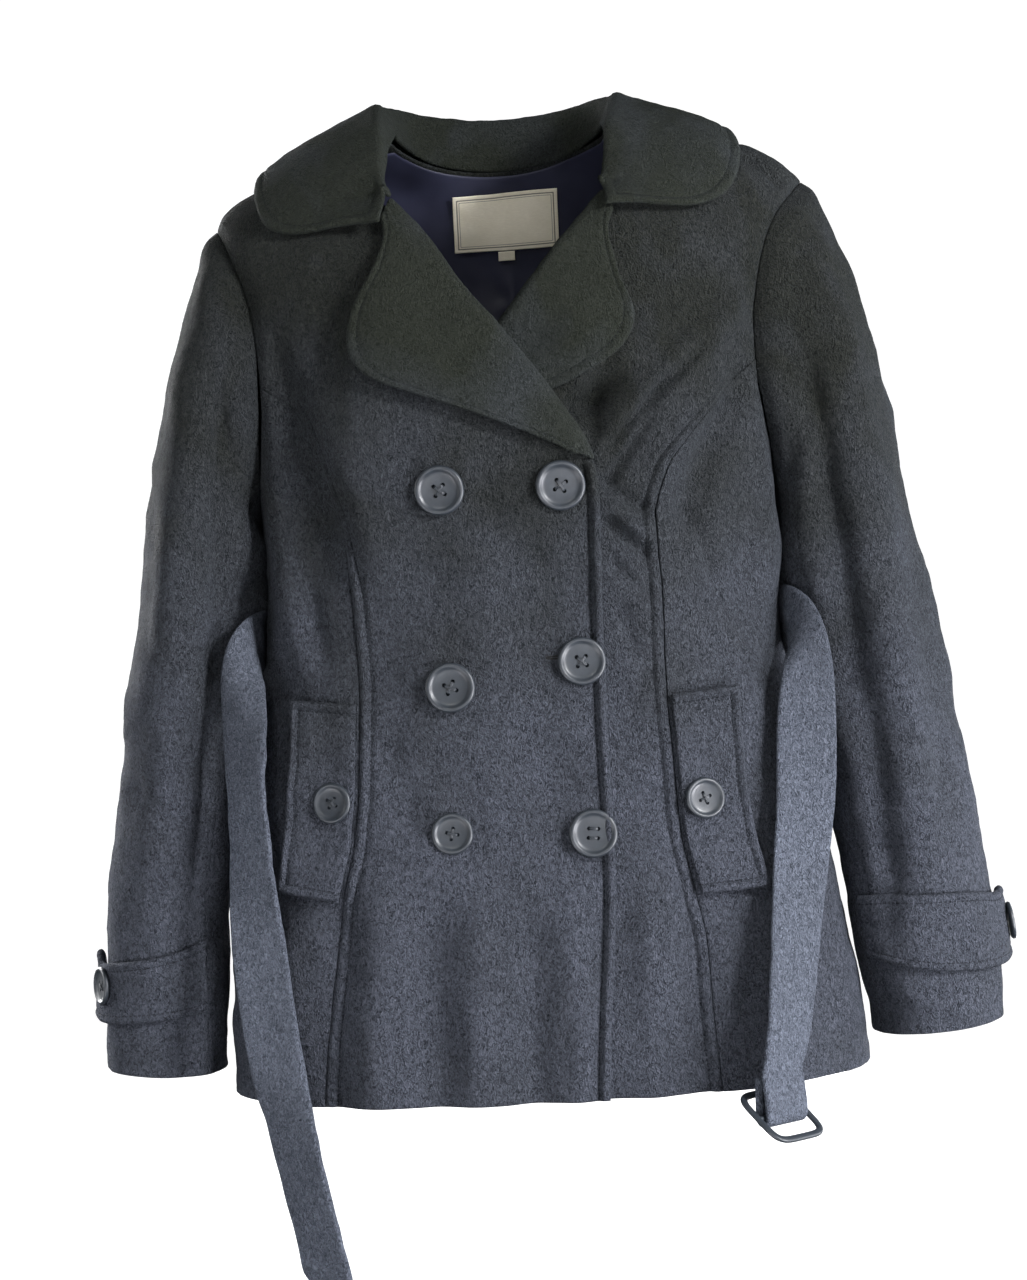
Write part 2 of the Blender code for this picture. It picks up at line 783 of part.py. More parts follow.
def sheet_wall(name, middle, thickness, colour, facing):
    """A wall of even thickness around a grid. facing is a direction on its outer side."""
    normals = grid_normals(middle)
    if np.sum(normals[len(normals) // 2, normals.shape[1] // 2] * facing) < 0:
        normals = -normals
    half = normals * np.asarray(thickness)[..., None] / 2
    return wall(name, middle + half, middle - half, colour)


def lofted_tube(name, path, radius, sides, colour, roughness=0.8):
    """A closed round tube through points."""
    path = np.asarray(path, float)
    along = unit(np.gradient(path, axis=0))
    side = unit(np.cross(along, [0.05, 1.0, 0.02]))
    up = np.cross(along, side)
    turn = np.linspace(0, 2 * np.pi, sides, endpoint=False)
    ring = side[:, None] * np.cos(turn)[:, None] + up[:, None] * np.sin(turn)[:, None]
    points = (path[:, None] + radius * ring).reshape(-1, 3)
    faces = [tuple(range(sides)), tuple(range(len(points) - sides, len(points)))]
    for r in range(len(path) - 1):
        for c in range(sides):
            d = (c + 1) % sides
            faces.append((r * sides + c, r * sides + d, (r + 1) * sides + d, (r + 1) * sides + c))
    return add_object(name, closed_mesh(name, points, faces), colour, roughness)


# ---------------------------------------------------------------------------
# Torso panels
# ---------------------------------------------------------------------------

TIP_REACH = 0.86  # the side fronts' tips stop this share of the last level up
LABEL_REST = 2.4
LINING_REST = 1.9


def set_armhole_normals(normals, points, side, face, edge_column):
    """Give a panel's armhole edge the thickness direction that it shares with the sleeve."""
    top, bottom = SHOULDER_Z[side], ARMPIT_Z[side]
    share = (top - points[:, edge_column, 2]) / (top - bottom)
    angle = -face * np.degrees(np.arccos(np.clip(1 - 2 * share, -1, 1)))
    shared = seam_normals(side, angle)[0]
    place = np.abs(points[:, edge_column, 0])
    on_armhole = (share < 1.001) & (place > ARMHOLE_X[side, face](share) - 1)
    normals[:, edge_column] = np.where(on_armhole[:, None], shared, normals[:, edge_column])


def make_front(name, side, surface):
    """The centre front from hem to shoulder, between its edge and the princess seam and armhole."""
    x, z = spread(edge_line(side), princess_line(side, -1), 8, LEVELS)
    points, normals = surface(x, z)
    set_armhole_normals(normals, points, side, FRONT, -1)
    wall(name, points, points - normals * CLOTH, FLEECE_LIT)


def make_side_front(name, side):
    """The side front between the princess seam and the side seam, up to its tip at the armhole."""
    levels = LEVELS[LEVELS <= SIDE_FRONT_TOP]
    x, z = spread(princess_line(side, 1), armhole_line(side, FRONT), 5, levels)
    points, normals = torso(FRONT, x, z)
    set_armhole_normals(normals, points, side, FRONT, -1)
    normals[-1] = normals[-1, -1]
    points[-1] = points[-2] + (points[-1] - points[-2]) * TIP_REACH
    normals[-1] = unit(normals[-2] + (normals[-1] - normals[-2]) * TIP_REACH)
    wall(name, points, points - normals * CLOTH, FLEECE_LIT)


def neck_cut(x):
    """The share of the way up to the ridge at which the back neckline cuts the back."""
    out = np.clip(np.abs(x) / NECK_X, 0, 1)
    neckline = NECK_BACK_Z + (NECK_SIDE_Z - NECK_BACK_Z) * out**2.2
    return np.where(out < 1, (neckline - HEM) / (ridge(x) - HEM), 1.0)


def back_grid(columns, levels):
    """x and z of points on the back, with the top rows brought down to the neckline."""
    x, z = spread(armhole_line(RIGHT, BACK), armhole_line(LEFT, BACK), columns, levels)
    cut = neck_cut(x[-1])
    fade = ease((levels - 0.7) / 0.3)[:, None]
    level = levels[:, None] * (1 - fade * (1 - cut))
    return x, level_z(x, level)


def make_back():
    x, z = back_grid(18, LEVELS)
    points, normals = torso(BACK, x, z)
    set_armhole_normals(normals, points, RIGHT, BACK, 0)
    set_armhole_normals(normals, points, LEFT, BACK, -1)
    wall("back", points, points - normals * CLOTH, FLEECE)


def lining_surface(x, z, depth):
    points, normals = torso(BACK, x, z)
    return points - normals * (CLOTH + LINING_REST + depth), normals


def make_lining():
    """The back's lining, on every second column of the back's own points."""
    x, z = back_grid(18, LEVELS)
    x, z = x[1:-2, 1::2], z[1:-2, 1::2]
    outer, _ = lining_surface(x, z, 0.0)
    inner, _ = lining_surface(x, z, LINING)
    wall("lining_back", outer, inner, SATIN, 0.35)


def make_label(name, x_range, z_range, turn, colour, thickness, depth, grid):
    """A small flat label on the lining inside the back of the neck."""
    across, up = np.meshgrid(np.linspace(*x_range, grid[0]), np.linspace(*z_range, grid[1]))
    middle = np.mean(x_range)
    up = up + (across - middle) * math.tan(math.radians(turn))
    outer, _ = lining_surface(across, up, LINING + depth)
    inner, _ = lining_surface(across, up, LINING + depth + thickness)
    wall(name, outer, inner, colour, 0.8)


# ---------------------------------------------------------------------------
# Sleeve panels, straps
# ---------------------------------------------------------------------------


def make_sleeve_panel(name, side, angles):
    points, normals = sleeve(side, SLEEVE_STATIONS, angles)
    normals[0] = seam_normals(side, angles)[1]
    wall(name, points, points - normals * CLOTH, FLEECE_LIT)


def make_sleeve(side, word):
    """The upper sleeve from the back seam over the outside to the front seam, and the under sleeve."""
    front, back = sleeve_angles(side)
    gap = math.degrees(SEAM / 2 / SLEEVE_SEAM_RADIUS)
    start, end = back[BACK_SEAM], front[FRONT_SEAM]
    upper = np.concatenate([[start + gap], back[BACK_SEAM - 1 : 0 : -1], front[:FRONT_SEAM], [end - gap]])
    under = np.concatenate([[end + gap], front[FRONT_SEAM + 1 :], back[-2:BACK_SEAM:-1] + 360])
    under = np.append(under, start - gap + 360)
    make_sleeve_panel(f"sleeve_{word}_upper", side, upper)
    make_sleeve_panel(f"sleeve_{word}_under", side, under)


def strap_surface(side, angles, shares, lift):
    """Points on a cuff strap: share 0 is its top edge and 1 its bottom edge."""
    rows = STRAP[side]
    top, bottom, off = (column(rows, "angle", name)(angles) for name in ("top", "bottom", "lift"))
    heights = top * (1 - shares[:, None]) + bottom * shares[:, None]
    points, normals = on_sleeve(side, angles, heights)
    return points + normals * (off[:, None] + lift)[None], normals


def make_strap(name, side):
    angles = np.linspace(STRAP[side]["angle"][0], STRAP[side]["angle"][-1], 12)
    shares = np.linspace(0, 1, 4)
    inner, normals = strap_surface(side, angles, shares, 0.0)
    wall(name, inner + normals * STRAP_CLOTH, inner, FLEECE_LIT)


# ---------------------------------------------------------------------------
# Lapels, collar, flaps
# ---------------------------------------------------------------------------


def make_lapel(name, side, surface, plain_from, rest=0.0):
    """A lapel turned back over its front, with the facing around the front's edge behind it.

    Below plain_from the facing stops short at the edge, because the other front lies there. rest is
    how much further off its front the lapel lies.
    """
    rows = LAPEL[side]
    roll = np.stack([rows["roll_x"], rows["roll_z"]], axis=-1)
    edge = np.stack([rows["edge_x"], rows["edge_z"]], axis=-1)
    width = np.linalg.norm(edge - roll, axis=-1, keepdims=True)
    outward = (edge - roll) / width
    plain = ease((plain_from - roll[:, 1:]) / 25)
    short = np.minimum(1.0, width / 21)
    columns = []
    for a, h, plain_a, plain_h in zip(*(LAPEL_FOLD[n] for n in LAPEL_FOLD)):
        across = (a + (plain_a - a) * np.minimum(1, 2 * plain)) * short
        lift = h + (plain_h - h) * np.maximum(0, 2 * plain - 1) + rest * (h > 0)
        columns.append((roll + outward * across, lift[:, 0]))
    for share, lift in zip(LAPEL_ACROSS["share"], LAPEL_ACROSS["lift"]):
        across = np.maximum(width * share, 4.0 * short + 4.0 * share)
        columns.append((roll + outward * across, np.full(len(roll), lift + rest)))
    middle = np.stack([lifted(surface, place, lift) for place, lift in columns], axis=1)
    sheet_wall(name, middle, np.full(middle.shape[:2], DOUBLE), FLEECE, [0, FRONT, 0])


def lifted(surface, place, lift):
    points, normals = surface(place[:, 0], place[:, 1])
    return points + normals * lift[:, None]


def bezier(corners, shares):
    a, b, c, d = corners
    t = shares[:, None]
    return a * (1 - t) ** 3 + 3 * b * t * (1 - t) ** 2 + 3 * c * t**2 * (1 - t) + d * t**3


def collar_profile(side, station):
    """One section of the collar: up the stand, over the roll and down the fall to the edge."""
    word = "right" if side == RIGHT else "left"
    row = {name: float(smooth(np.arange(13.0), COLLAR[name])(station)) for name in COLLAR}
    face = BACK if row["behind"] > 0 else FRONT
    base_x = side * row["base_x"]
    if side == LEFT and face == FRONT:
        base_x = float(EDGE_X[LEFT](row["base_z"])) - 1.6
    foot, foot_normal = torso(face, base_x, row["base_z"])
    roll = np.array([side * row["roll_" + word], row["roll_y"], row["roll_z"]])
    edge_x = side * row["edge_" + word]
    edge, edge_normal = torso(face, edge_x, float(ridge(edge_x)) - row["drop"])
    edge = edge + edge_normal * row["lift"]
    rise = unit(roll - foot)
    foot = foot - foot_normal * CLOTH / 2 + rise * (SEAM + 1.2)
    fall = edge - roll
    out = unit(fall - rise * np.dot(fall, rise))
    height, length = np.linalg.norm(roll - foot), np.linalg.norm(fall)
    stand = (foot, foot + rise * height * 0.5, roll - out * min(9.0, 0.5 * height), roll)
    flat = edge + (roll - edge) * 0.34 + edge_normal * length * 0.1
    turned = (roll, roll + out * min(13.0, 0.3 * length), flat, edge)
    return np.concatenate([bezier(stand, COLLAR_STAND_SHARES), bezier(turned, COLLAR_FALL_SHARES)])


def make_collar():
    stations = [(RIGHT, s) for s in COLLAR_STATIONS[:0:-1]] + [(LEFT, s) for s in COLLAR_STATIONS]
    middle = np.stack([collar_profile(side, station) for side, station in stations])
    sheet_wall("collar", middle, np.full(middle.shape[:2], COLLAR_CLOTH), FLEECE, [0, 0, 1])


def flap_places(side, seam_share, shares):
    """x and z on a pocket flap: seam_share runs across from the seam, shares down it."""
    rows = FLAP[side]
    knots = np.linspace(0, 1, len(rows["seam_z"]))
    seam_z, free_x, free_z = (smooth(knots, rows[n])(shares) for n in ("seam_z", "free_x", "free_z"))
    seam_x = side * (PRINCESS_X[side](seam_z) + 1.6)
    x = seam_x * (1 - seam_share) + free_x * seam_share
    return x, seam_z * (1 - seam_share) + free_z * seam_share


def make_flap(name, side):
    across, down = np.meshgrid(np.linspace(0, 1, 5), np.linspace(0, 1, 7))
    x, z = flap_places(side, across, down)
    points, normals = torso(FRONT, x, z)
    wall(name, points + normals * (REST + FLAP_CLOTH), points + normals * REST, FLEECE_LIT)


# ---------------------------------------------------------------------------
# Belt, loops, buckle
# ---------------------------------------------------------------------------

BELT_SLACK = 2.2  # between the back and the belt


def belt_around():
    """The stretch of the belt around the back, from the right side seam to the left one."""
    angles = np.radians(np.linspace(-89, 89, 15))
    edges = []
    for height in (BELT_LEVEL + BELT_WIDTH / 2, BELT_LEVEL - BELT_WIDTH / 2):
        x = half_width(angles, height) * np.sin(angles)
        points, normals = torso(BACK, x, np.full(x.shape, height))
        edges.append(points + normals * (BELT_SLACK + BELT_CLOTH / 2))
    return (edges[0] + edges[1]) / 2, unit(edges[0] - edges[1])


def belt_end(side):
    rows = BELT_END[side]
    middle = np.stack([rows["x"], rows["y"], rows["z"]], axis=-1)
    wide = np.stack([rows["wide_x"], rows["wide_y"], rows["wide_z"]], axis=-1)
    knots = np.concatenate([[0], np.cumsum(np.linalg.norm(np.diff(middle, axis=0), axis=-1))])
    places = np.linspace(0, knots[-1], int(knots[-1] / 22))
    return smooth(knots, middle)(places), unit(smooth(knots, wide)(places))


def belt_fold():
    """The belt's end that goes around the buckle's middle bar and back up behind itself."""
    upward = unit(np.cross(BUCKLE_FACE, BUCKLE_AXIS))
    out, up = BELT_FOLD["out"][:, None], BELT_FOLD["up"][:, None]
    middle = BUCKLE_AXIS_POINT + out * BUCKLE_FACE + up * upward
    return middle, np.tile(BUCKLE_AXIS, (len(middle), 1))


BUCKLE_FACE = unit(np.cross(BUCKLE_AXIS, [0.0, 0.0, 1.0]))  # the way the belt's end faces


def make_belt():
    right, right_wide = belt_end(RIGHT)
    back, back_wide = belt_around()
    left, left_wide = belt_end(LEFT)
    fold, fold_wide = belt_fold()
    middle = np.concatenate([right[::-1], back, left, fold])
    wide = np.concatenate([right_wide[::-1], back_wide, left_wide, fold_wide])
    along = unit(np.gradient(middle, axis=0))
    out = unit(np.cross(along, wide))
    offsets = np.linspace(-0.5, 0.5, 3) * BELT_WIDTH
    grid = middle[:, None] + offsets[None, :, None] * wide[:, None]
    half = out[:, None] * BELT_CLOTH / 2
    wall("belt", grid + half, grid - half, FLEECE_LIT)


def make_belt_loop(name, side):
    """A thread loop on the side seam that the belt passes through."""
    z = BELT_LEVEL + BELT_LOOP["height"]
    x = side * (half_width(side, z) + BELT_LOOP["out"])
    path = np.stack([x, np.full(z.shape, RIDGE_Y), z], axis=-1)
    lofted_tube(name, path, 0.9, 8, THREAD)


def make_buckle():
    """A plain frame with a middle bar that the belt's end is folded around."""
    sides, around = 24, 6
    length = BUCKLE_HALF_LENGTH - BUCKLE_BAR_WIDTH / 2
    span = BUCKLE_HALF_SPAN - BUCKLE_BAR_WIDTH / 2
    turn = np.linspace(0, 2 * np.pi, sides, endpoint=False) + np.pi / sides
    corner = 5.0

    def squared(values):
        return np.sign(values) * np.minimum(np.abs(values) * 1.35, 1.0)

    middle = np.stack(
        [
            squared(np.cos(turn)) * (length - corner) + corner * np.cos(turn),
            squared(np.sin(turn)) * (span - corner) + corner * np.sin(turn),
            np.zeros(sides),
        ],
        axis=-1,
    )
    out = unit(np.stack([np.cos(turn) / length, np.sin(turn) / span, 0 * turn], axis=-1) * span)
    section = np.linspace(0, 2 * np.pi, around, endpoint=False) + np.pi / around
    across = np.cos(section) / np.cos(np.pi / around) * BUCKLE_BAR_WIDTH / 2
    deep = np.sin(section) / np.cos(np.pi / around) * BUCKLE_BAR_DEPTH / 2
    points = middle[:, None] + out[:, None] * across[None, :, None]
    points = points + np.array([0, 0, 1.0]) * deep[None, :, None]
    faces = []
    for r in range(sides):
        for c in range(around):
            s, d = (r + 1) % sides, (c + 1) % around
            faces.append((r * around + c, r * around + d, s * around + d, s * around + c))
    frame = add_object("buckle", closed_mesh("buckle", points.reshape(-1, 3), faces), PLASTIC, 0.35)
    reach = BUCKLE_HALF_LENGTH + 2.5
    pin_path = np.array([[-reach, 0.0, 0.0], [0.0, 0.0, 0.0], [reach, 0.0, 0.0]])
    pin = lofted_tube("buckle_pin", pin_path, BUCKLE_PIN, 10, PLASTIC, 0.35)
    pin.hide_render = True
    pin.display_type = "WIRE"
    join = frame.modifiers.new("middle_bar", "BOOLEAN")
    join.operation = "UNION"
    join.object = pin
    deep_axis = np.cross(BUCKLE_AXIS, BUCKLE_SPAN)
    turn_to = Matrix(np.stack([BUCKLE_AXIS, BUCKLE_SPAN, deep_axis], axis=-1).tolist()).to_4x4()
    place = Matrix.Translation((BUCKLE_AXIS_POINT * MM).tolist()) @ turn_to
    frame.matrix_world = place
    pin.matrix_world = place


# ---------------------------------------------------------------------------
# Buttons
# ---------------------------------------------------------------------------


def ring_faces(rings, sides):
    faces = []
    for r in range(rings - 1):
        for c in range(sides):
            d = (c + 1) % sides
            faces.append((r * sides + c, r * sides + d, (r + 1) * sides + d, (r + 1) * sides + c))
    return faces


def turned(name, profile, sides):
    """A closed turned solid from (radius, height) pairs, bottom rim first."""
    turn = np.linspace(0, 2 * np.pi, sides, endpoint=False)
    circle = np.stack([np.cos(turn), np.sin(turn), 0 * turn], axis=-1)
    points = np.concatenate([circle * r + [0, 0, h] for r, h in profile])
    faces = ring_faces(len(profile), sides)
    faces += [tuple(range(sides)), tuple(range(len(points) - sides, len(points)))]
    return closed_mesh(name, points, faces)


def button_mesh(radius):
    """A dished button with a raised rim and four holes."""
    profile = [(r * radius, h * radius) for r, h in zip(*(BUTTON_PROFILE[n] for n in BUTTON_PROFILE))]
    disc = bpy.data.objects.new("disc", turned("disc", profile, BUTTON_SIDES))
    punches = []
    for turn in (45, 135, 225, 315):
        angle = math.radians(turn)
        pin = turned("pin", [(BUTTON_HOLE * radius, -3.0), (BUTTON_HOLE * radius, radius)], 6)
        shift = radius * BUTTON_HOLE_OFFSET * MM
        pin.transform(Matrix.Translation((math.cos(angle) * shift, math.sin(angle) * shift, 0)))
        punches.append(pin)
    work = bmesh.new()
    for pin in punches:
        work.from_mesh(pin)
    holes = bpy.data.meshes.new("holes")
    work.to_mesh(holes)
    work.free()
    cutter = bpy.data.objects.new("cutter", holes)
    for made in (disc, cutter):
        bpy.context.scene.collection.objects.link(made)
    cut = disc.modifiers.new("holes", "BOOLEAN")
    cut.operation = "DIFFERENCE"
    cut.object = cutter
    bpy.context.view_layer.update()
    depsgraph = bpy.context.evaluated_depsgraph_get()
    made = bpy.data.meshes.new_from_object(disc.evaluated_get(depsgraph))
    bpy.data.objects.remove(disc)
    bpy.data.objects.remove(cutter)
    return made


def place_button(name, radius, point, normal, upward=(0, 0, 1)):
    """Sew a button on: its back lies just above the cloth at point."""
    side = unit(np.cross(upward, normal))
    up = np.cross(normal, side)
    turn_to = Matrix(np.stack([side, up, normal], axis=-1).tolist()).to_4x4()
    lift = point + normal * BUTTON_GAP
    made = add_object(name, button_mesh(radius), PLASTIC, 0.35)
    made.matrix_world = Matrix.Translation((lift * MM).tolist()) @ turn_to


def make_buttons():
    for name, x, z, radius, seat in FRONT_BUTTONS:
        point, normal = torso(FRONT, x, z)
        place_button(name, radius, point + normal * seat, normal)
    for name, side, across, down, radius in POCKET_BUTTONS:
        x, z = flap_places(side, across, down)
        point, normal = torso(FRONT, x, z)
        place_button(name, radius, point + normal * (REST + FLAP_CLOTH), normal)
    for name, side, angle, height, radius in CUFF_BUTTONS:
        rows = STRAP[side]
        top, bottom = (float(column(rows, "angle", n)(angle)) for n in ("top", "bottom"))
        share = np.array([(height - top) / (bottom - top)])
        points, normals = strap_surface(side, np.array([angle]), share, STRAP_CLOTH)
        place_button(name, radius, points[0, 0], normals[0, 0])


# ---------------------------------------------------------------------------
# The whole coat
# ---------------------------------------------------------------------------

for old in list(bpy.data.objects):
    bpy.data.objects.remove(old)
COAT = bpy.data.objects.new("trench_coat", None)
bpy.context.scene.collection.objects.link(COAT)

make_front("front_right", RIGHT, right_front)
make_front("front_left", LEFT, left_front)
make_side_front("front_right_side", RIGHT)
make_side_front("front_left_side", LEFT)
make_back()
make_lining()
make_label("label", (-37.0, 43.5), (-29.5, 11.5), 1.2, CREAM, 0.8, LABEL_REST, (7, 4))
make_label("size_tag", (-3.5, 9.0), (-37.5, -30.2), 1.2, CREAM, 0.6, LABEL_REST, (3, 3))
make_sleeve(RIGHT, "right")
make_sleeve(LEFT, "left")
make_strap("cuff_strap_right", RIGHT)
make_strap("cuff_strap_left", LEFT)
make_lapel("lapel_right", RIGHT, right_front, -92.0)
make_lapel("lapel_left", LEFT, left_front, -52.0, rest=1.3)
make_collar()
make_flap("pocket_flap_right", RIGHT)
make_flap("pocket_flap_left", LEFT)
make_belt()
make_belt_loop("belt_loop_right", RIGHT)
make_belt_loop("belt_loop_left", LEFT)
make_buckle()
make_buttons()
bpy.context.view_layer.update()
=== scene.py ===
# %% [markdown]
# # A short double-breasted trench coat in grey fleece
# The coat stands filled out as if it were worn, with nobody inside. It is a hollow shell of sewn cloth
# panels: two fronts, two side fronts, a back and two-piece sleeves, with a collar, lapels, pocket
# flaps, cuff straps, a belt with a buckle and ten buttons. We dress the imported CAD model: each of its
# plain walls is hidden, and a finer piece with folds, rounded seams and nap takes its place.

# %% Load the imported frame
import math

import bmesh
import bpy
import numpy as np
from mathutils import Matrix


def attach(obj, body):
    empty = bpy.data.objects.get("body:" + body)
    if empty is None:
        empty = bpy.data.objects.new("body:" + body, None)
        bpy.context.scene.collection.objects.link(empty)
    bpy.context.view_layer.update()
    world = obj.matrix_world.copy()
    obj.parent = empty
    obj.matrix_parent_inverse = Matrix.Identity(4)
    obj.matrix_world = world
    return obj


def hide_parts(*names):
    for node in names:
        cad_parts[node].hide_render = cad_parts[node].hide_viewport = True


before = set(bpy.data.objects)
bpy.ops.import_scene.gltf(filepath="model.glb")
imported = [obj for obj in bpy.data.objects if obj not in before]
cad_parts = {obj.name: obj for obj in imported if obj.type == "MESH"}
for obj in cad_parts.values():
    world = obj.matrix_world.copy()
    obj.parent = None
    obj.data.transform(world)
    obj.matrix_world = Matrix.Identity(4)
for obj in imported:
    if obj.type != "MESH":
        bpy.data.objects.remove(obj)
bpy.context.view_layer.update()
print("CAD nodes:", len(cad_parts))

# %% [markdown]
# ## Sizes and curves
# A tailor works from a table of measures and joins them with a curved ruler. We do the same: every
# shape below starts as a short table in millimetres, and one function draws the curve through it. The
# curve never swings past the measures, so a table can be trusted where it is flat.
# X runs to the wearer's left, Y to the back and Z up, from the base of the neck.

# %% Cloth thicknesses and the curve ruler
MM = 0.001
SEAM = 0.1  # parting line between two panels
REST = 0.7  # gap under a piece that lies on a panel
CLOTH, LINING = 3.0, 1.2  # fleece with its interlining, and satin
DOUBLE = 3.4  # two layers pressed together, as in the lapels
COLLAR_CLOTH, FLAP_CLOTH, STRAP_CLOTH = 4.0, 4.0, 4.4
HEM = -640.0
FAR = 99.0  # a distance that stands for nowhere near
BELT_LEVEL = -318.0  # the middle of the belt at the waist
RIGHT, LEFT = -1, 1
FRONT, BACK = -1, 1
SIDES = {RIGHT: "right", LEFT: "left"}
FACES = {FRONT: "front", BACK: "back"}


def table(columns, *rows):
    """A short table as a dictionary of its named columns."""
    return dict(zip(columns.split(), np.array(rows, float).T))


def smooth(knots, values):
    """A cubic curve through a table's rows. A row's slope is the harmonic mean of the slopes beside it."""
    values = np.asarray(values, float)
    steps = np.diff(knots).reshape(-1, *[1] * (values.ndim - 1))
    secants = np.diff(values, axis=0) / steps
    same = secants[1:] * secants[:-1] > 0
    total = np.where(same, secants[1:] + secants[:-1], 1.0)
    middle = np.where(same, 2 * secants[1:] * secants[:-1] / total, 0.0)
    slopes = np.concatenate([secants[:1], middle, secants[-1:]])

    def at(place):
        place = np.clip(np.asarray(place, float), knots[0], knots[-1])
        i = np.clip(np.searchsorted(knots, place, "right") - 1, 0, len(knots) - 2)
        step = (knots[i + 1] - knots[i]).reshape(place.shape + (1,) * (values.ndim - 1))
        t = (place - knots[i]).reshape(step.shape) / step
        start = values[i] * (1 + 2 * t) + slopes[i] * step * t
        end = values[i + 1] * (3 - 2 * t) + slopes[i + 1] * step * (t - 1)
        return start * (1 - t) ** 2 + end * t**2

    return at


def column(rows, knot, name):
    """The curve through one column of a table, as a function of its knots."""
    return smooth(rows[knot], rows[name])


def ease(share):
    """0 to 1 with level ends: 3s^2 - 2s^3."""
    share = np.clip(share, 0.0, 1.0)
    return share * share * (3 - 2 * share)


def unit(vectors):
    """Vectors scaled to length 1."""
    vectors = np.asarray(vectors, float)
    return vectors / np.maximum(np.linalg.norm(vectors, axis=-1, keepdims=True), 1e-9)


# %% [markdown]
# ## The torso
# A body is close to a stack of rounded sections. Each section here is a superellipse,
# |x / width|^n + |y / depth|^n = 1 with n = 2.3, a little boxier than an ellipse. Over the shoulders
# the sections roll shut towards a ridge line, so the whole torso is one closed surface.

# %% Torso tables and surface
TORSO = table(
    "z right left front back",
    (-650, 224, 235, 107, 97), (-600, 224, 230, 105, 97), (-550, 221, 222, 103, 95),
    (-490, 214, 213.5, 100, 92), (-430, 205, 204, 95, 87), (-370, 194.5, 192.5, 91, 79),
    (-318, 184.5, 184.5, 89, 72), (-280, 183, 183.5, 92, 74), (-240, 183, 184, 98, 80),
    (-200, 187, 188, 101, 86), (-150, 195, 196, 97, 90), (-100, 206, 206, 91, 90),
    (-50, 218, 219, 86, 87), (0, 232, 234, 80, 82), (60, 244, 246, 74, 76),
)
ROUNDNESS = 2.3
RIDGE_Y = 3.0  # the shoulder line lies this far behind the middle
SHOULDERS = table(
    "x z",
    (-240, -66), (-207, -22), (-184, -1), (-166, 8), (-130, 22), (-80, 36), (0, 50),
    (80, 38), (130, 28), (165, 20), (185, 13), (202, 5), (218, -8), (240, -32),
)
ROLL = table("x reach", (0, 120), (80, 112), (150, 82), (215, 60), (250, 60))

WIDTH = {side: column(TORSO, "z", word) for side, word in SIDES.items()}
DEPTH = {face: column(TORSO, "z", word) for face, word in FACES.items()}
ridge = column(SHOULDERS, "x", "z")
roll_reach = column(ROLL, "x", "reach")


def half_width(x, z):
    """Half the torso's width at a height, on the side that x is on."""
    return np.where(np.asarray(x) < 0, WIDTH[RIGHT](z), WIDTH[LEFT](z))


def reach_squared(face, x, z):
    """depth^2 * (1 - |x / width|^n)^(2 / n) * (1 - rise^2), where rise is 1 at the shoulder's ridge."""
    full = 1 - np.abs(x / half_width(x, z)) ** ROUNDNESS
    across = np.sign(full) * np.abs(full) ** (2 / ROUNDNESS)
    roll = roll_reach(np.abs(x))
    rise = np.maximum((z - ridge(x) + roll) / roll, 0.0)
    return DEPTH[face](z) ** 2 * across * (1 - rise**2)


def torso(face, x, z):
    """Points on the torso's front or back, and outward normals from the slope of reach_squared."""
    x, z = np.broadcast_arrays(np.asarray(x, float), np.asarray(z, float))
    reach = np.sqrt(np.maximum(reach_squared(face, x, z), (SEAM / 2) ** 2))
    points = np.stack([x, RIDGE_Y + face * reach, z], axis=-1)
    step = 0.4
    down_x = reach_squared(face, x - step, z) - reach_squared(face, x + step, z)
    down_z = reach_squared(face, x, z - step) - reach_squared(face, x, z + step)
    normals = np.stack([down_x / (2 * step), 2 * face * reach, down_z / (2 * step)], axis=-1)
    return points, unit(normals)


def level_z(x, level):
    """Height at x of a level, where 0 is the hem and 1 the top of the shoulders."""
    return HEM + (ridge(x) - HEM) * level


def at_levels(line, levels):
    """Where a line, given as x from z, crosses each level."""
    z = HEM * (1 - np.asarray(levels, float))
    for _ in range(60):
        z = 0.5 * z + 0.5 * level_z(line(z), levels)
    return line(z), z


print("chest", round(float(sum(width(-200.0) for width in WIDTH.values()))), "mm across")

# %% [markdown]
# ## Seam lines
# The panels are cut along armholes, princess seams and the two front edges. Each line is a table of
# places, and neighbouring panels read the same line, so their edges meet everywhere.

# %% Armholes, princess seams and front edges
ARMHOLE = table(
    "share right_front left_front right_back left_back",
    (0, 207, 218, 207, 218), (0.06, 200, 207, 201, 209), (0.14, 192.5, 193, 195, 198),
    (0.25, 183.5, 182, 188, 190), (0.38, 178, 175, 183, 184), (0.5, 176.5, 171.5, 180.5, 181),
    (0.64, 176.5, 172, 180, 180.5), (0.78, 178.5, 176, 181, 182), (0.9, 181, 181.5, 182.5, 184),
    (1, 184, 185.8, 184, 185.8),
)
ARMPIT_LEVEL = 0.64
SIDE_FRONT_TOP = 0.78
ARMPIT_X, SHOULDER_X = 184.0, {RIGHT: 207.0, LEFT: 218.0}
ARMPIT_Z = {side: float(level_z(side * ARMPIT_X, ARMPIT_LEVEL)) for side in SIDES}
SHOULDER_Z = {side: float(ridge(side * SHOULDER_X[side])) for side in SIDES}
ARMHOLE_X = {
    (side, face): column(ARMHOLE, "share", f"{SIDES[side]}_{FACES[face]}")
    for side in SIDES
    for face in FACES
}
PRINCESS = table(
    "z right left",
    (-650, 155, 119), (-590, 148.5, 116), (-540, 141, 114), (-500, 133.5, 108), (-460, 123, 100),
    (-410, 118, 97.5), (-360, 115.5, 96), (-300, 116.5, 96), (-250, 123.5, 94.5), (-217, 134, 103),
    (-190, 142, 123.5), (-165, 155, 149), (-146, 172, 166), (-128, 200, 190), (-110, 230, 230),
)
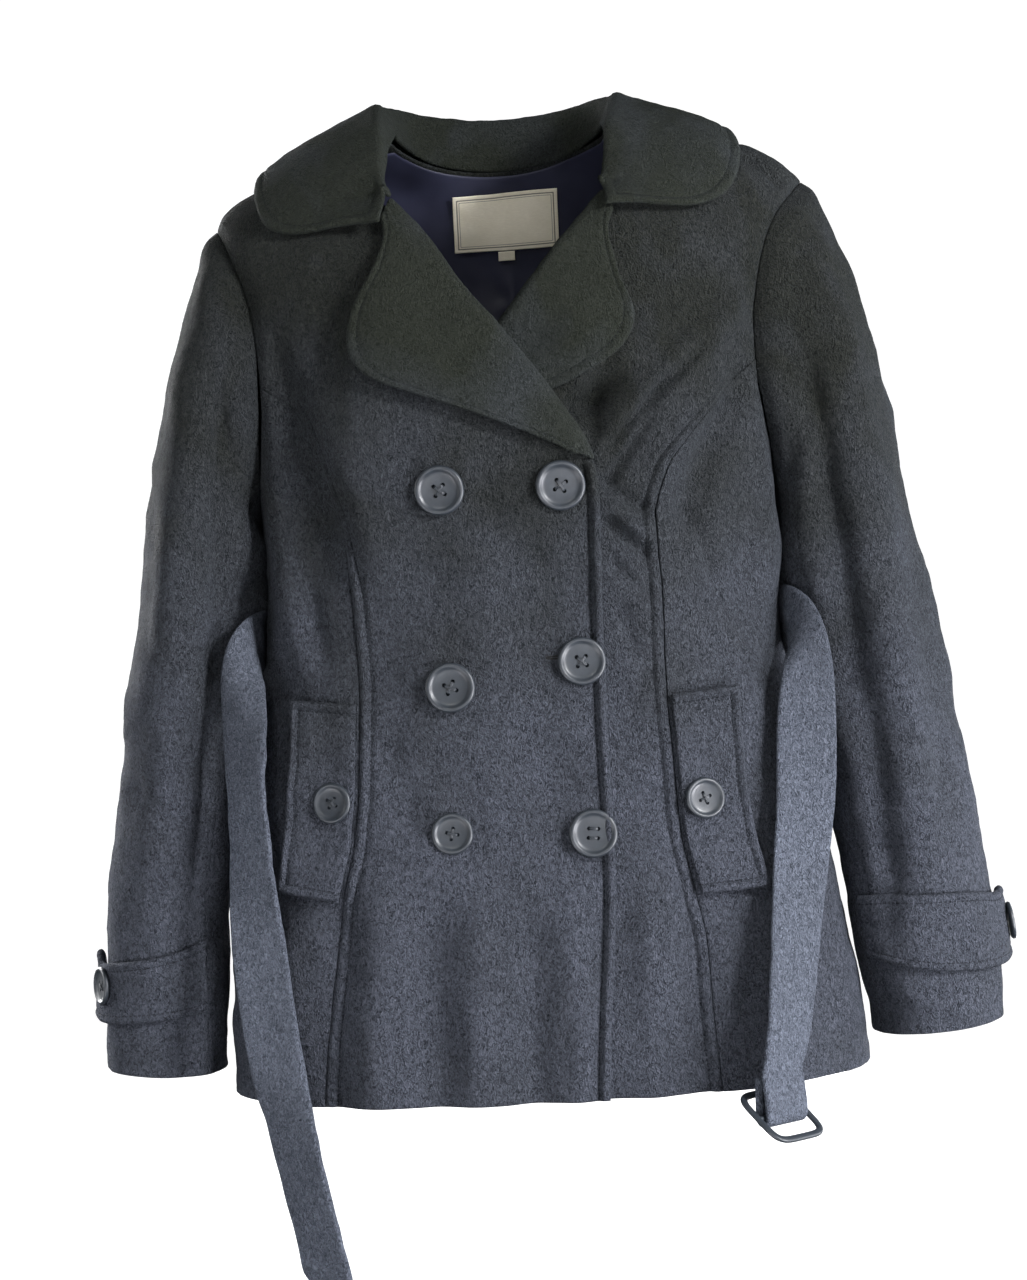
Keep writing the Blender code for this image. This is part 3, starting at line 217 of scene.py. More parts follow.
PRINCESS_X = {side: column(PRINCESS, "z", word) for side, word in SIDES.items()}
# Front edge, then the roll of the lapel, then the neck. The right front laps over the left one.
FRONT_EDGE = {
    RIGHT: table(
        "z x",
        (-650, 41), (-590, 45), (-540, 50), (-486, 53.5), (-410, 53.5), (-320, 54), (-240, 55.5),
        (-212, 53.5), (-195, 45), (-168, 29), (-144, 12), (-117, -5.5), (-100, -22), (-70, -44),
        (-41, -63.5), (-20, -79), (-8, -82), (15, -80), (37, -76), (60, -74),
    ),
    LEFT: table(
        "z x",
        (-650, -48), (-240, -50), (-212, -48), (-185, -41), (-160, -32), (-135, -19), (-113, -5),
        (-90, 15), (-60, 41), (-32, 65.5), (-16, 74.5), (8, 78), (37, 76), (60, 74),
    ),
}
EDGE_X = {side: column(FRONT_EDGE[side], "z", "x") for side in SIDES}
EDGE_INSET = {
    RIGHT: table("z inset", (-650, 0), (-214, 0), (-196, 3.4), (60, 3.4)),
    LEFT: table("z inset", (-650, 0), (-160, 0), (-132, 3.4), (60, 3.4)),
}
NECK_X, NECK_BACK_Z, NECK_SIDE_Z = 77.0, 22.0, 37.0
OVERLAP_FADE = 64.0  # the under front comes level with the upper one over this distance
LAP_ROOM, LAPEL_ROOM = 1.2, 8.3  # room under the lap, and more of it where the right lapel turns


def armhole_share(side, z):
    """How far down the armhole a height is: 0 at the shoulder and 1 at the armpit."""
    return (SHOULDER_Z[side] - z) / (SHOULDER_Z[side] - ARMPIT_Z[side])


def armhole_line(side, face):
    """x from z along an armhole, and along the side of the torso below it."""

    def line(z):
        share = armhole_share(side, z)
        above = ARMHOLE_X[side, face](share) - SEAM / 2
        return side * np.where(share > 1, half_width(side, z), above)

    return line


def princess_line(side, outward):
    """x from z along a princess seam and the armhole above it. outward picks the seam's side. At the
    seam's tip the front covers the side front by 0.7 * exp(-gap / 2), so that no hole is left."""
    armhole = armhole_line(side, FRONT)

    def line(z):
        seam, limit = PRINCESS_X[side](z) + outward * SEAM / 2, np.abs(armhole(z))
        cover = 0.7 * np.exp(np.minimum(seam - limit, 0) / 2) * (outward < 0)
        return side * np.minimum(seam + cover, limit)

    return line


def edge_line(side):
    """x from z along a front's inner edge, shortened where another piece wraps it."""
    inset = column(EDGE_INSET[side], "z", "inset")
    return lambda z: EDGE_X[side](z) + side * inset(z)


def overlap_depth(x, z):
    """How far the left front lies below the torso, to leave room for the right front and its lapel,
    which turns between z = -245 and z = -65."""
    lapped = 1 - ease((x - EDGE_X[RIGHT](z)) / OVERLAP_FADE)
    turning = ease((z + 245) / 60) * (1 - ease((z + 125) / 60))
    return lapped * (CLOTH + LAP_ROOM + LAPEL_ROOM * turning)


# %% [markdown]
# ## Folds
# Fleece this thick never creases sharply; it rolls into long soft folds where it is pulled. The lines
# below are strokes drawn on the coat as seen from the front or the back: each is a bent line through
# three points, with a width and a height. A negative height is a trough. Where the left front is
# pulled between the armhole and the overlap, the strokes run diagonally; at the hem they run down.

# %% Fold strokes
FOLD_DEPTH = 1.3  # the body's strokes are this much deeper than the table says
BODY_FOLDS = table(
    "face x0 z0 x1 z1 x2 z2 width height",
    # left front: the pull from the armhole to the overlap, with its creases, and the trough beside it
    (-1, 178, -84, 122, -142, 48, -216, 13, 6.5),
    (-1, 150, -146, 112, -178, 84, -250, 10, 3.0),
    (-1, 146, -116, 104, -160, 54, -214, 4.6, -6.0),
    (-1, 116, -143, 86, -174, 58, -208, 3.2, -3.6),
    (-1, 104, -166, 82, -196, 54, -236, 4.0, -4.6),
    (-1, 178, -136, 132, -190, 101, -290, 11, -8.5),
    (-1, 74, -116, 54, -160, 50, -210, 6.5, -4.0),
    (-1, 84, -140, 58, -167, 26, -178, 8.5, -8.5),
    (-1, 178, -150, 176, -226, 170, -330, 13, 6.0),
    (-1, 66, -240, 84, -330, 84, -440, 11, 2.2),
    (-1, 52, -214, 72, -236, 98, -250, 4.2, -4.6),
    (-1, 54, -242, 72, -264, 96, -282, 4.4, -4.2),
    (-1, 54, -228, 70, -250, 94, -266, 4.6, 3.0),
    (-1, 56, -268, 70, -292, 92, -306, 4.6, -3.2),
    (-1, 112, -236, 128, -262, 136, -306, 5, -3.0),
    # the shoulder seam comes forward over the left shoulder, beside the collar
    (-1, 158, 10, 186, 4, 201, -24, 3.2, -3.2),
    (-1, 160, 18, 192, 12, 208, -14, 6, 2.4),
    (-1, 62, -300, 76, -330, 84, -372, 7, -2.6),
    # right front: the trough along the princess seam and the roll beside the armhole
    (-1, -172, -96, -148, -186, -118, -300, 15, -9.5),
    (-1, -178, -176, -172, -250, -146, -380, 11, 5.5),
    (-1, -186, -180, -182, -240, -176, -330, 7, -2.6),
    (-1, -124, -150, -108, -215, -98, -330, 20, 2.8),
    (-1, -100, -60, -128, -112, -136, -170, 18, -2.4),
    (-1, -150, -272, -142, -310, -140, -350, 6, -2.0),
    (-1, -14, -372, 4, -404, 22, -446, 22, -4.0),
    (-1, -104, -372, -84, -420, -86, -474, 14, -2.2),
    (-1, -40, -240, -24, -300, -24, -350, 22, 2.2),
    (-1, 6, -250, 14, -300, 6, -336, 15, -1.6),
    # hem: long soft flares
    (-1, -106, -470, -112, -560, -121, -690, 14, 4.2),
    (-1, -134, -480, -141, -564, -148, -690, 12, -4.0),
    (-1, -72, -470, -74, -590, -78, -690, 14, -3.4),
    (-1, -36, -450, -44, -582, -52, -690, 15, 3.8),
    (-1, -4, -490, -6, -592, -12, -690, 11, -4.2),
    (-1, 24, -470, 24, -592, 22, -690, 12, 3.8),
    (-1, 76, -440, 74, -575, 70, -690, 14, 4.4),
    (-1, 104, -450, 106, -577, 108, -690, 12, -5.0),
    (-1, 146, -480, 152, -580, 156, -690, 17, 3.8),
    (-1, 192, -420, 198, -540, 204, -690, 16, -3.6),
    (-1, -190, -430, -196, -540, -200, -690, 16, -3.8),
    (-1, -172, -480, -176, -580, -180, -690, 12, 3.2),
    # back: drag lines under the collar and from the armholes, the hollow of the waist, flares below
    (1, -172, -60, -120, -118, -60, -170, 15, 3.6),
    (1, -172, -104, -126, -160, -90, -236, 13, -4.2),
    (1, 172, -52, 124, -116, 70, -176, 15, 3.8),
    (1, 176, -98, 132, -166, 100, -240, 13, -4.4),
    (1, -58, -10, 0, -26, 58, -10, 13, -1.6),
    (1, 0, -60, 4, -170, 2, -292, 20, -2.8),
    (1, -172, -170, -164, -230, -158, -310, 12, 4.4),
    (1, 174, -176, 168, -236, 160, -310, 12, 4.6),
    (1, -84, -268, -60, -284, -22, -292, 7, 2.2),
    (1, 20, -262, 62, -282, 112, -286, 7, 2.4),
    (1, -120, -352, -70, -346, -30, -352, 7, 2.2),
    (1, 30, -356, 84, -350, 132, -362, 7, 2.2),
    (1, -178, -400, -186, -540, -190, -690, 16, 4.6),
    (1, -134, -380, -142, -540, -150, -690, 16, -4.8),
    (1, -88, -370, -92, -540, -98, -690, 15, 4.2),
    (1, -40, -400, -44, -560, -48, -690, 16, -4.2),
    (1, 8, -370, 12, -540, 10, -690, 15, 4.6),
    (1, 56, -400, 62, -550, 66, -690, 14, -4.4),
    (1, 104, -370, 112, -540, 120, -690, 16, 4.2),
    (1, 150, -420, 160, -560, 166, -690, 14, -4.4),
)
# A face of 0 is a stroke on the side of the sleeve that faces the body, and counts for half.
SLEEVE_FOLDS = table(
    "face x0 z0 x1 z1 x2 z2 width height",
    # right sleeve, front
    (-1, -222, -86, -240, -230, -254, -370, 14, 4.6),
    (-1, -246, -290, -262, -440, -278, -575, 14, 4.4),
    (-1, -200, -90, -205, -240, -216, -420, 11, -8.0),
    (-1, -214, -330, -232, -440, -242, -575, 11, -5.0),
    (-1, -256, -180, -268, -260, -270, -350, 11, -3.4),
    (-1, -282, -352, -260, -370, -234, -410, 8, 2.2),
    (-1, -286, -412, -268, -424, -244, -450, 8, -2.2),
    # left sleeve, front
    (-1, 222, -64, 246, -170, 260, -310, 15, 4.8),
    (-1, 250, -240, 268, -400, 280, -560, 15, 4.6),
    (-1, 198, -100, 224, -250, 236, -420, 12, -8.5),
    (-1, 234, -350, 244, -440, 250, -560, 10, -5.2),
    (-1, 196, -200, 208, -310, 218, -460, 10, 3.6),
    (-1, 276, -200, 282, -330, 296, -490, 11, -3.4),
    (-1, 290, -324, 270, -348, 238, -370, 8, 2.2),
    (-1, 302, -424, 284, -444, 260, -470, 8, -2.2),
    # where the sleeves lie against the body, above and below the belt
    (-1, -192, -250, -198, -330, -206, -430, 8, -7.0),
    (0, -186, -218, -188, -288, -191, -332, 13, 20),
    (0, -188, -276, -191, -313, -194, -350, 10, 15),
    (0, 186, -250, 188, -292, 190, -328, 13, 17),
    (0, -194, -318, -197, -352, -200, -404, 12, 19),
    (0, 193, -318, 195, -350, 199, -410, 12, 25),
    (0, 190, -306, 193, -334, 196, -366, 9, 9),
    # backs of the sleeves
    (1, -224, -90, -242, -220, -254, -370, 15, 4.0),
    (1, -206, -130, -218, -260, -230, -420, 12, -5.6),
    (1, -262, -330, -274, -440, -284, -570, 14, 4.0),
    (1, -286, -320, -254, -346, -220, -360, 9, 4.4),
    (1, -288, -362, -258, -382, -226, -392, 9, -4.2),
    (1, 232, -80, 252, -200, 264, -350, 16, 4.4),
    (1, 208, -140, 226, -280, 238, -440, 12, -5.8),
    (1, 270, -330, 286, -450, 296, -570, 14, 4.0),
    (1, 302, -318, 262, -346, 226, -356, 9, 4.6),
    (1, 306, -362, 268, -380, 230, -392, 9, -4.4),
)


def fold_height(points, normals, strokes):
    """Sum over the strokes of height * exp(-(d / width)^2) * fade: d is the distance across the stroke,
    seen from its side of the coat, and fade falls to 0 at its two ends."""
    place = points[..., [0, 2]]
    total = np.zeros(place.shape[:-1])
    t = np.linspace(0, 1, 11)[:, None]
    for face, x0, z0, x1, z1, x2, z2, width, height in zip(*strokes.values()):
        start, bend, end = np.array([[x0, z0], [x1, z1], [x2, z2]])
        line = start * (1 - t) ** 2 + 2 * bend * t * (1 - t) + end * t**2
        near = np.full(total.shape, np.inf)
        along = np.zeros(total.shape)
        for i in range(len(line) - 1):
            run = line[i + 1] - line[i]
            share = np.clip((place - line[i]) @ run / (run @ run), 0, 1)
            gap = np.sum((place - line[i] - share[..., None] * run) ** 2, axis=-1)
            along = np.where(gap < near, (i + share) / (len(line) - 1), along)
            near = np.minimum(near, gap)
        fade = ease(along / 0.3) * ease((1 - along) / 0.3)
        seen = ease(0.5 + 2 * face * normals[..., 1])
        total += height * np.exp(-near / width**2) * fade * seen
    return total


def ripples(points, size, seed, waves=28):
    """Gentle unevenness about size mm across: sqrt(2 / n) times the sum of n cosines in random
    directions."""
    rng = np.random.default_rng(seed)
    ways = unit(rng.normal(size=(waves, 3))) / (size * rng.uniform(0.75, 1.6, (waves, 1)))
    shifts = rng.uniform(0, 2 * np.pi, waves)
    turns = 2 * np.pi * (points.reshape(-1, 3) @ ways.T) + shifts
    return (np.cos(turns).sum(axis=1) * math.sqrt(2 / waves)).reshape(points.shape[:-1])


def armhole_run(points):
    """Distance of the body's points from the armhole's line, across the coat."""
    z = points[..., 2]
    side = np.where(points[..., 0] < 0, RIGHT, LEFT)
    face = np.where(points[..., 1] < RIDGE_Y, FRONT, BACK)
    inside = np.full(z.shape, FAR)
    for (s, f), line in ARMHOLE_X.items():
        share = armhole_share(s, z)
        gap = line(share) - np.abs(points[..., 0]) + 40 * np.maximum(share - 1, 0)
        inside = np.where((side == s) & (face == f), gap, inside)
    return np.maximum(inside, 0)


def seam_dip(run, z):
    """The sleeve seam pulls the cloth in: 1.6 * exp(-(run / 5)^2), except under the arm."""
    return 1.6 * np.exp(-((run / 5) ** 2)) * ease((z - ARMPIT_Z[LEFT] - 20) / 60)


def draped(points, normals):
    """The torso's cloth with its folds and a slackness in ripples 85 and 38 mm across. Folds die out
    over 16 mm at the sleeve seam, and the belt holds the back in."""
    run = armhole_run(points)
    slack = 0.9 * ripples(points, 85, 3) + 0.5 * ripples(points, 38, 4)
    belted = np.exp(-(((points[..., 2] - BELT_LEVEL) / 26) ** 2)) * ease(0.5 + 2 * normals[..., 1])
    free = ease(run / 16) * (1 - 0.8 * belted)
    height = (FOLD_DEPTH * fold_height(points, normals, BODY_FOLDS) + slack) * free
    height = height - seam_dip(run, points[..., 2])
    return points + normals * height[..., None], normals


def flat_front(side):
    """The surface of a front before its folds, as a function of x and z. The left one dips under the
    right one."""

    def surface(x, z):
        points, normals = torso(FRONT, x, z)
        depth = overlap_depth(x, z) if side == LEFT else np.zeros(normals.shape[:-1])
        return points - normals * depth[..., None], normals

    return surface


def folded_front(side):
    """The same surface with its folds."""
    return lambda x, z: draped(*flat_front(side)(x, z))


print("fold strokes:", len(BODY_FOLDS["face"]) + len(SLEEVE_FOLDS["face"]))

# %% [markdown]
# ## From a surface to a piece of cloth
# A panel is a grid of points with a thickness. Its top side gets what makes sewn fleece look sewn:
# edges that roll over instead of ending square, a padded ridge between an edge and its topstitching,
# and a furrow under the stitches. The grid is closer near the edges, where these details are. The
# under side is the lining in the body and the sleeves, and fleece in the turned-up hem.

# %% Grids measured along the cloth
PLAIN_EDGE = (0, 0.5, 1.2, 2.2, 3.6)
TOPSTITCH = 8.0  # distance of the topstitching from an edge
STITCHED_EDGE = (0, 0.5, 1.2, 2.2, 3.4, 4.7, 5.8, 6.7, 7.4, 8.0, 8.6, 9.4, 10.6)
STITCH_LENGTH = 3.4
THREAD_REACH, THREAD_SHARE = 0.5, 0.7  # half a thread's width, and the share of a stitch that shows
HEM_TURN = 36.0  # fleece turned up inside the hem and the cuffs


def borders(points):
    """Distance of each grid point from the grid's four borders: the steps along a row or a column,
    added up."""
    across = np.linalg.norm(np.diff(points, axis=1), axis=-1)
    down = np.linalg.norm(np.diff(points, axis=0), axis=-1)
    left = np.pad(np.cumsum(across, axis=1), ((0, 0), (1, 0)))
    low = np.pad(np.cumsum(down, axis=0), ((1, 0), (0, 0)))
    return {"left": left, "right": left[:, -1:] - left, "low": low, "high": low[-1:] - low}


def fitted_steps(totals, step, start=PLAIN_EDGE, end=PLAIN_EDGE):
    """Places along rows of different lengths, as many in each row: start and end distances stay as they
    are in mm and the rest is stretched evenly between them. Short rows shrink everything."""
    totals = np.atleast_1d(np.asarray(totals, float))
    start, end = np.asarray(start, float), np.asarray(end, float)[::-1]
    shrink = np.minimum(1, 0.8 * totals / (start[-1] + end[0]))[:, None]
    count = max(int(round((totals.max() - start[-1] - end[0]) / step)), 2)
    share = np.arange(1, count) / count
    first, last = start * shrink, totals[:, None] - end * shrink
    middle = first[:, -1:] * (1 - share) + last[:, :1] * share
    return np.concatenate([first, middle, last], axis=1)


def respaced(runs, values, step, start=PLAIN_EDGE, end=PLAIN_EDGE):
    """Values of a grid again at fitted steps along each row, by linear interpolation over the runs."""
    wanted = fitted_steps(runs[:, -1], step, start, end)
    made = np.empty(wanted.shape + values.shape[2:])
    for row, k in np.ndindex(len(runs), values.shape[2]):
        made[row, :, k] = np.interp(wanted[row], runs[row], values[row, :, k])
    return made


def even_knots(curve, knots, step):
    """Knots that are evenly spaced along a curve: curve(knots) gives its points."""
    run = borders(np.asarray(curve(knots))[None])["left"][0]
    return np.interp(fitted_steps(run[-1], step)[0], run, knots)


def grid_normals(points, facing):
    """Unit normals: the cross product of the steps across and down, turned to point along facing."""
    normals = unit(np.cross(np.gradient(points, axis=1), np.gradient(points, axis=0)))
    middle = normals[len(normals) // 2, normals.shape[1] // 2]
    return normals if middle @ np.asarray(facing, float) > 0 else -normals


def quad_mesh(name, points, quads, finish=None):
    """A smooth mesh in metres from points in millimetres and rows of four point numbers."""
    mesh = bpy.data.meshes.new(name)
    mesh.vertices.add(len(points))
    mesh.vertices.foreach_set("co", (np.asarray(points) * MM).astype(np.float32).ravel())
    mesh.loops.add(quads.size)
    mesh.loops.foreach_set("vertex_index", quads.astype(np.int32).ravel())
    mesh.polygons.add(len(quads))
    mesh.polygons.foreach_set("loop_start", np.arange(0, quads.size, 4, dtype=np.int32))
    if finish is not None:
        mesh.polygons.foreach_set("material_index", finish.astype(np.int32))
    mesh.update(calc_edges=True)
    mesh.shade_smooth()
    return mesh


def grid_quads(rows, columns, closed=False):
    """Point numbers of a grid's faces. A closed grid's last column is joined to its first."""
    number = np.arange(rows * columns).reshape(rows, columns)
    if closed:
        number = np.concatenate([number, number[:, :1]], axis=1)
    corners = (number[:-1, :-1], number[:-1, 1:], number[1:, 1:], number[1:, :-1])
    return np.stack(corners, axis=-1).reshape(-1, 4)


def ring_quads(rows, columns):
    """Point numbers of the faces of a grid that is closed both ways, like a ring's."""
    number = np.arange(rows * columns).reshape(rows, columns)
    corners = (number, np.roll(number, -1, 1), np.roll(number, -1, (0, 1)), np.roll(number, -1, 0))
    return np.stack(corners, axis=-1).reshape(-1, 4)


def cleaned(mesh, distance):
    """Merges points closer than a distance. Blender's own normals check turns the faces outwards."""
    work = bmesh.new()
    work.from_mesh(mesh)
    bmesh.ops.remove_doubles(work, verts=work.verts, dist=distance)
    bmesh.ops.recalc_face_normals(work, faces=work.faces)
    work.to_mesh(mesh)
    work.free()
    return mesh


def closed_wall(name, top, under, outward, lined):
    """A closed shell: a top grid, an under grid with its faces reversed, and a band of quads around."""
    rows, columns = top.shape[:2]
    count = rows * columns
    quads = grid_quads(rows, columns)
    number = np.arange(count).reshape(rows, columns)
    ring = np.concatenate([number[0], number[1:, -1], number[-1, -2::-1], number[-2:0:-1, 0]])
    after = np.roll(ring, -1)
    band = np.stack([after, ring, ring + count, after + count], axis=-1)
    faces = np.concatenate([quads, quads[:, ::-1] + count, band])
    flat = top.reshape(-1, 3)
    a, b, d = (flat[quads[:, i]] for i in (0, 1, 3))
    if np.sum(np.cross(b - a, d - a) * outward.reshape(-1, 3)[quads[:, 0]]) < 0:
        faces = faces[:, ::-1]
    under_finish = lined.reshape(-1)[quads].mean(axis=1) > 0.5
    finish = np.concatenate([np.zeros(len(quads)), under_finish, np.zeros(len(band))])
    return quad_mesh(name, np.concatenate([flat, under.reshape(-1, 3)]), faces, finish)


def add_piece(name, mesh, finishes, body="coat", node=None):
    """Links a finished mesh, gives it its materials, and lets it stand for its CAD node."""
    mesh.materials.clear()
    for finish in finishes:
        mesh.materials.append(finish)
    made = bpy.data.objects.new(name, mesh)
    bpy.context.scene.collection.objects.link(made)
    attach(made, body)
    if node:
        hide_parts(node)
    return made


def cut_size(points):
    """Width, length and area in metres of the flat cloth that a grid was cut from."""
    runs = borders(points)
    width, length = float(runs["left"][:, -1].max()) * MM, float(runs["low"][-1].max()) * MM
    across, down = np.diff(points, axis=1)[:-1], np.diff(points, axis=0)[:, :-1]
    area = float(np.linalg.norm(np.cross(across, down), axis=-1).sum()) * MM**2
    return width, length, min(area, width * length)


def sew(node, points, normals, thickness, finishes, stitched=None, only=None, lined=None, held="hung",
        nap=0.14, pad=1.5, furrow=1.0, rounding=0.42, with_pieces=(), is_sheet=True):
    """One cloth piece. Its top is points + normals * (nap + pad - furrow - roll):
    pad = pad * sin(pi * d / inset) between an edge and its stitching, furrow = furrow * exp(-(off / 1.7)^2)
    under the stitches, and roll rounds every edge off as a quarter ellipse."""
    runs = borders(points)
    shape = points.shape[:2]
    stitched = stitched or {}
    off, along, nearest = np.full(shape, FAR), np.zeros(shape), np.full(shape, np.inf)
    weight = np.zeros(shape)
    for border, inset in stitched.items():
        closer = runs[border] < nearest
        nearest = np.where(closer, runs[border], nearest)
        off = np.where(closer, runs[border] - inset, off)
        along = np.where(closer, runs["low" if border in ("left", "right") else "left"], along)
        weight = np.where(closer, 1.0 if only is None else only.get(border, 1.0), weight)
    inset = max(stitched.values(), default=1.0)
    padded = pad * np.sin(np.pi * np.clip((off + inset) / inset, 0, 1))
    seam_line = (padded - furrow * np.exp(-((off / 1.7) ** 2))) * weight
    edge = np.minimum.reduce([runs[b] for b in runs])
    inward = 1 - np.clip(edge / (0.75 * thickness), 0, 1)
    roll = rounding * thickness * (1 - np.sqrt(1 - inward**2))
    tufts = nap * (0.5 * ripples(points, 6, 1) + ripples(points, 15, 2))
    top = points + normals * (tufts + seam_line - roll)[..., None]
    under = points - normals * (thickness - roll)[..., None]
    lined = np.zeros(shape) if lined is None else lined
    mesh = closed_wall("coat_" + node, top, under, normals, lined)
    off = np.where(weight > 0.5, off, FAR)
    for word, values in (("stitch_off", off), ("stitch_run", along)):
        both = np.concatenate([values.ravel(), np.full(values.size, FAR)])
        mesh.attributes.new(word, "FLOAT", "POINT").data.foreach_set("value", both.astype(np.float32))
    made = add_piece("coat_" + node, mesh, finishes, node=node)
    width, length, area = cut_size(points)
    if is_sheet:
        list(with_pieces)
    print(f"{node}: cut {width * 1000:.0f} x {length * 1000:.0f} mm, {len(mesh.polygons)} faces")
    return made


# %% [markdown]
# ## Finishes
# The coat is polyester fleece brushed until it felts: short tufts that lie downwards, a pebbled face
# whose tips are painted lighter and whose valleys are painted darker, as light and shade, and a faint
# sheen from the fibre ends. Its colour is also painted darker and greener at the shoulders, as shade, and
# lighter and bluer lower down, as light. The collar, the lapels and the belt are pressed flatter, so their
# pebbling is finer. The lining is a navy satin; the buttons and the buckle are moulded and polished
# polyester resin in slate grey.

# %% Node helper and colours


def linear(hex_colour):
    """sRGB hex to linear RGBA: c / 12.92 up to 0.04045, and ((c + 0.055) / 1.055)^2.4 above it."""
    c = np.array([int(hex_colour[i : i + 2], 16) for i in (1, 3, 5)]) / 255
    return (*np.where(c <= 0.04045, c / 12.92, ((c + 0.055) / 1.055) ** 2.4).tolist(), 1.0)


def fill(tree, node, inputs):
    """Sets each input of a node to a number or a hex colour, or links it to a socket or to the first
    output in use of another node."""
    for name, value in inputs.items():
        if isinstance(value, bpy.types.Node):
            value = next(out for out in value.outputs if out.enabled)
        if isinstance(value, bpy.types.NodeSocket):
            tree.links.new(value, node.inputs[name])
        else:
            node.inputs[name].default_value = linear(value) if isinstance(value, str) else value


def add_node(tree, kind, inputs=None, **settings):
    """One node with its settings and its links."""
    made = tree.nodes.new("ShaderNode" + kind)
    for name, value in settings.items():
        setattr(made, name, value)
    fill(tree, made, inputs or {})
    return made


def principled(name, **constants):
    """A new material, its tree and its shader, with the constant sockets set directly."""
    made = bpy.data.materials.new(name)
    made.use_nodes = True
    shader = made.node_tree.nodes["Principled BSDF"]
    fill(made.node_tree, shader, {key.replace("_", " "): value for key, value in constants.items()})
    return made, made.node_tree, shader


def lumps(size_mm, across=None):
    """The scale of a pattern whose lumps are size_mm tall and as wide, or across mm wide."""
    wide = 1000 / (across or size_mm)
    return wide, wide, 1000 / size_mm


# %% Brushed fleece
# Tufts are a few millimetres long; the fibres between them are drawn coarser than real ones, which are
# about 0.02 mm, so that they show.


def brushed_fleece(name, upper, lower, tufts_mm, depth_mm, contrast):
    """Fleece with painted shade at the shoulders, where its colour is darker and greener, and painted light
    below, where it is lighter and bluer, with a random mottling mixed in. upper is the shaded pair used at
    the shoulders and lower the lit pair used below; each holds hex colours for the valleys and the tips of
    the nap. tufts_mm is a tuft's width and length."""
    made, tree, shader = principled(
        name, Roughness=0.95, Sheen_Weight=0.06, Sheen_Roughness=0.4, Sheen_Tint="#8f9aa8",
        Specular_IOR_Level=0.08,
    )
    place = add_node(tree, "TexCoord").outputs["Object"]
    wide, tall = tufts_mm
    nap_at = add_node(tree, "Mapping", {"Vector": place, "Scale": lumps(tall, wide)})
    tufts = add_node(tree, "TexNoise", {"Vector": nap_at, "Scale": 1.0, "Detail": 1.5, "Distortion": 1.6})
    fibre_at = add_node(tree, "Mapping", {"Vector": place, "Scale": lumps(1.5, 0.6)})
    fibres = add_node(tree, "TexNoise", {"Vector": fibre_at, "Scale": 1.0, "Roughness": 0.6})
    drift_at = add_node(tree, "Mapping", {"Vector": place, "Scale": lumps(90, 60)})
    drifts = add_node(tree, "TexNoise", {"Vector": drift_at, "Scale": 1.0, "Distortion": 0.6})
    coarse = add_node(tree, "Math", {0: tufts, 1: 0.72}, operation="MULTIPLY")
    height = add_node(tree, "Math", {0: fibres, 1: 0.28, 2: coarse}, operation="MULTIPLY_ADD")
    # The nap's colour follows its height: painted shade in the valleys and painted light on the tips, on
    # top of the bump.
    tip = add_node(tree, "MapRange", {0: height, 1: 0.5 - contrast, 2: 0.5 + contrast})
    above = add_node(tree, "Mix", {0: tip, 6: upper[0], 7: upper[1]}, data_type="RGBA")
    below = add_node(tree, "Mix", {0: tip, 6: lower[0], 7: lower[1]}, data_type="RGBA")
    # Painted light and shade by height: the mix runs from the shaded upper pair 0.1 m below the neck to the
    # lit lower pair 0.48 m below it, plus a random mottling.
    z = add_node(tree, "SeparateXYZ", {0: place}).outputs["Z"]
    fall = add_node(tree, "MapRange", {0: z, 1: -0.1, 2: -0.48})
    drift = add_node(tree, "Math", {0: drifts, 1: 1.0, 2: -0.5}, operation="MULTIPLY_ADD")
    painted_light_and_mottling = add_node(tree, "Math", {0: fall, 1: drift}, operation="ADD", use_clamp=True)
    colour = add_node(tree, "Mix", {0: painted_light_and_mottling, 6: above, 7: below}, data_type="RGBA")
    off = add_node(tree, "Attribute", attribute_name="stitch_off").outputs["Fac"]
    run = add_node(tree, "Attribute", attribute_name="stitch_run").outputs["Fac"]
    beside = add_node(tree, "Math", {0: off}, operation="ABSOLUTE")
    near = add_node(tree, "Math", {0: beside, 1: THREAD_REACH}, operation="LESS_THAN")
    number = add_node(tree, "Math", {0: run, 1: STITCH_LENGTH}, operation="DIVIDE")
    part = add_node(tree, "Math", {0: number}, operation="FRACT")
    thread = add_node(tree, "Math", {0: part, 1: THREAD_SHARE}, operation="LESS_THAN")
    stitch = add_node(tree, "Math", {0: near, 1: thread}, operation="MULTIPLY")
    half = add_node(tree, "Math", {0: stitch, 1: 0.5}, operation="MULTIPLY")
    colour = add_node(tree, "Mix", {0: half, 6: colour, 7: "#101215"}, data_type="RGBA")
    relief = add_node(tree, "Math", {0: stitch, 1: -0.5, 2: height}, operation="MULTIPLY_ADD")
    bump = add_node(tree, "Bump", {"Height": relief, "Strength": 1.0, "Distance": depth_mm * 4 * MM})
    fill(tree, shader, {"Base Color": colour, "Normal": bump})
    return made


# In each, the first pair is the shaded top, painted darker, and the second the lit bottom, painted lighter
# and bluer: painted shade and light.
FLEECE = brushed_fleece(
    "brushed_polyester_fleece", ("#131513", "#323430"), ("#23262c", "#5e626d"), (2.1, 3.0), 2.3, 0.18
)
FELTED = brushed_fleece(
    "pressed_polyester_fleece", ("#151812", "#30332d"), ("#282b31", "#545964"), (1.8, 2.4), 1.1, 0.19
)
BELTING = brushed_fleece(
    "double_belt_fleece", ("#2a2d33", "#4e525a"), ("#32363e", "#6f7582"), (1.9, 2.8), 1.4, 0.18
)

# %% Satin, label ribbon, resin and thread


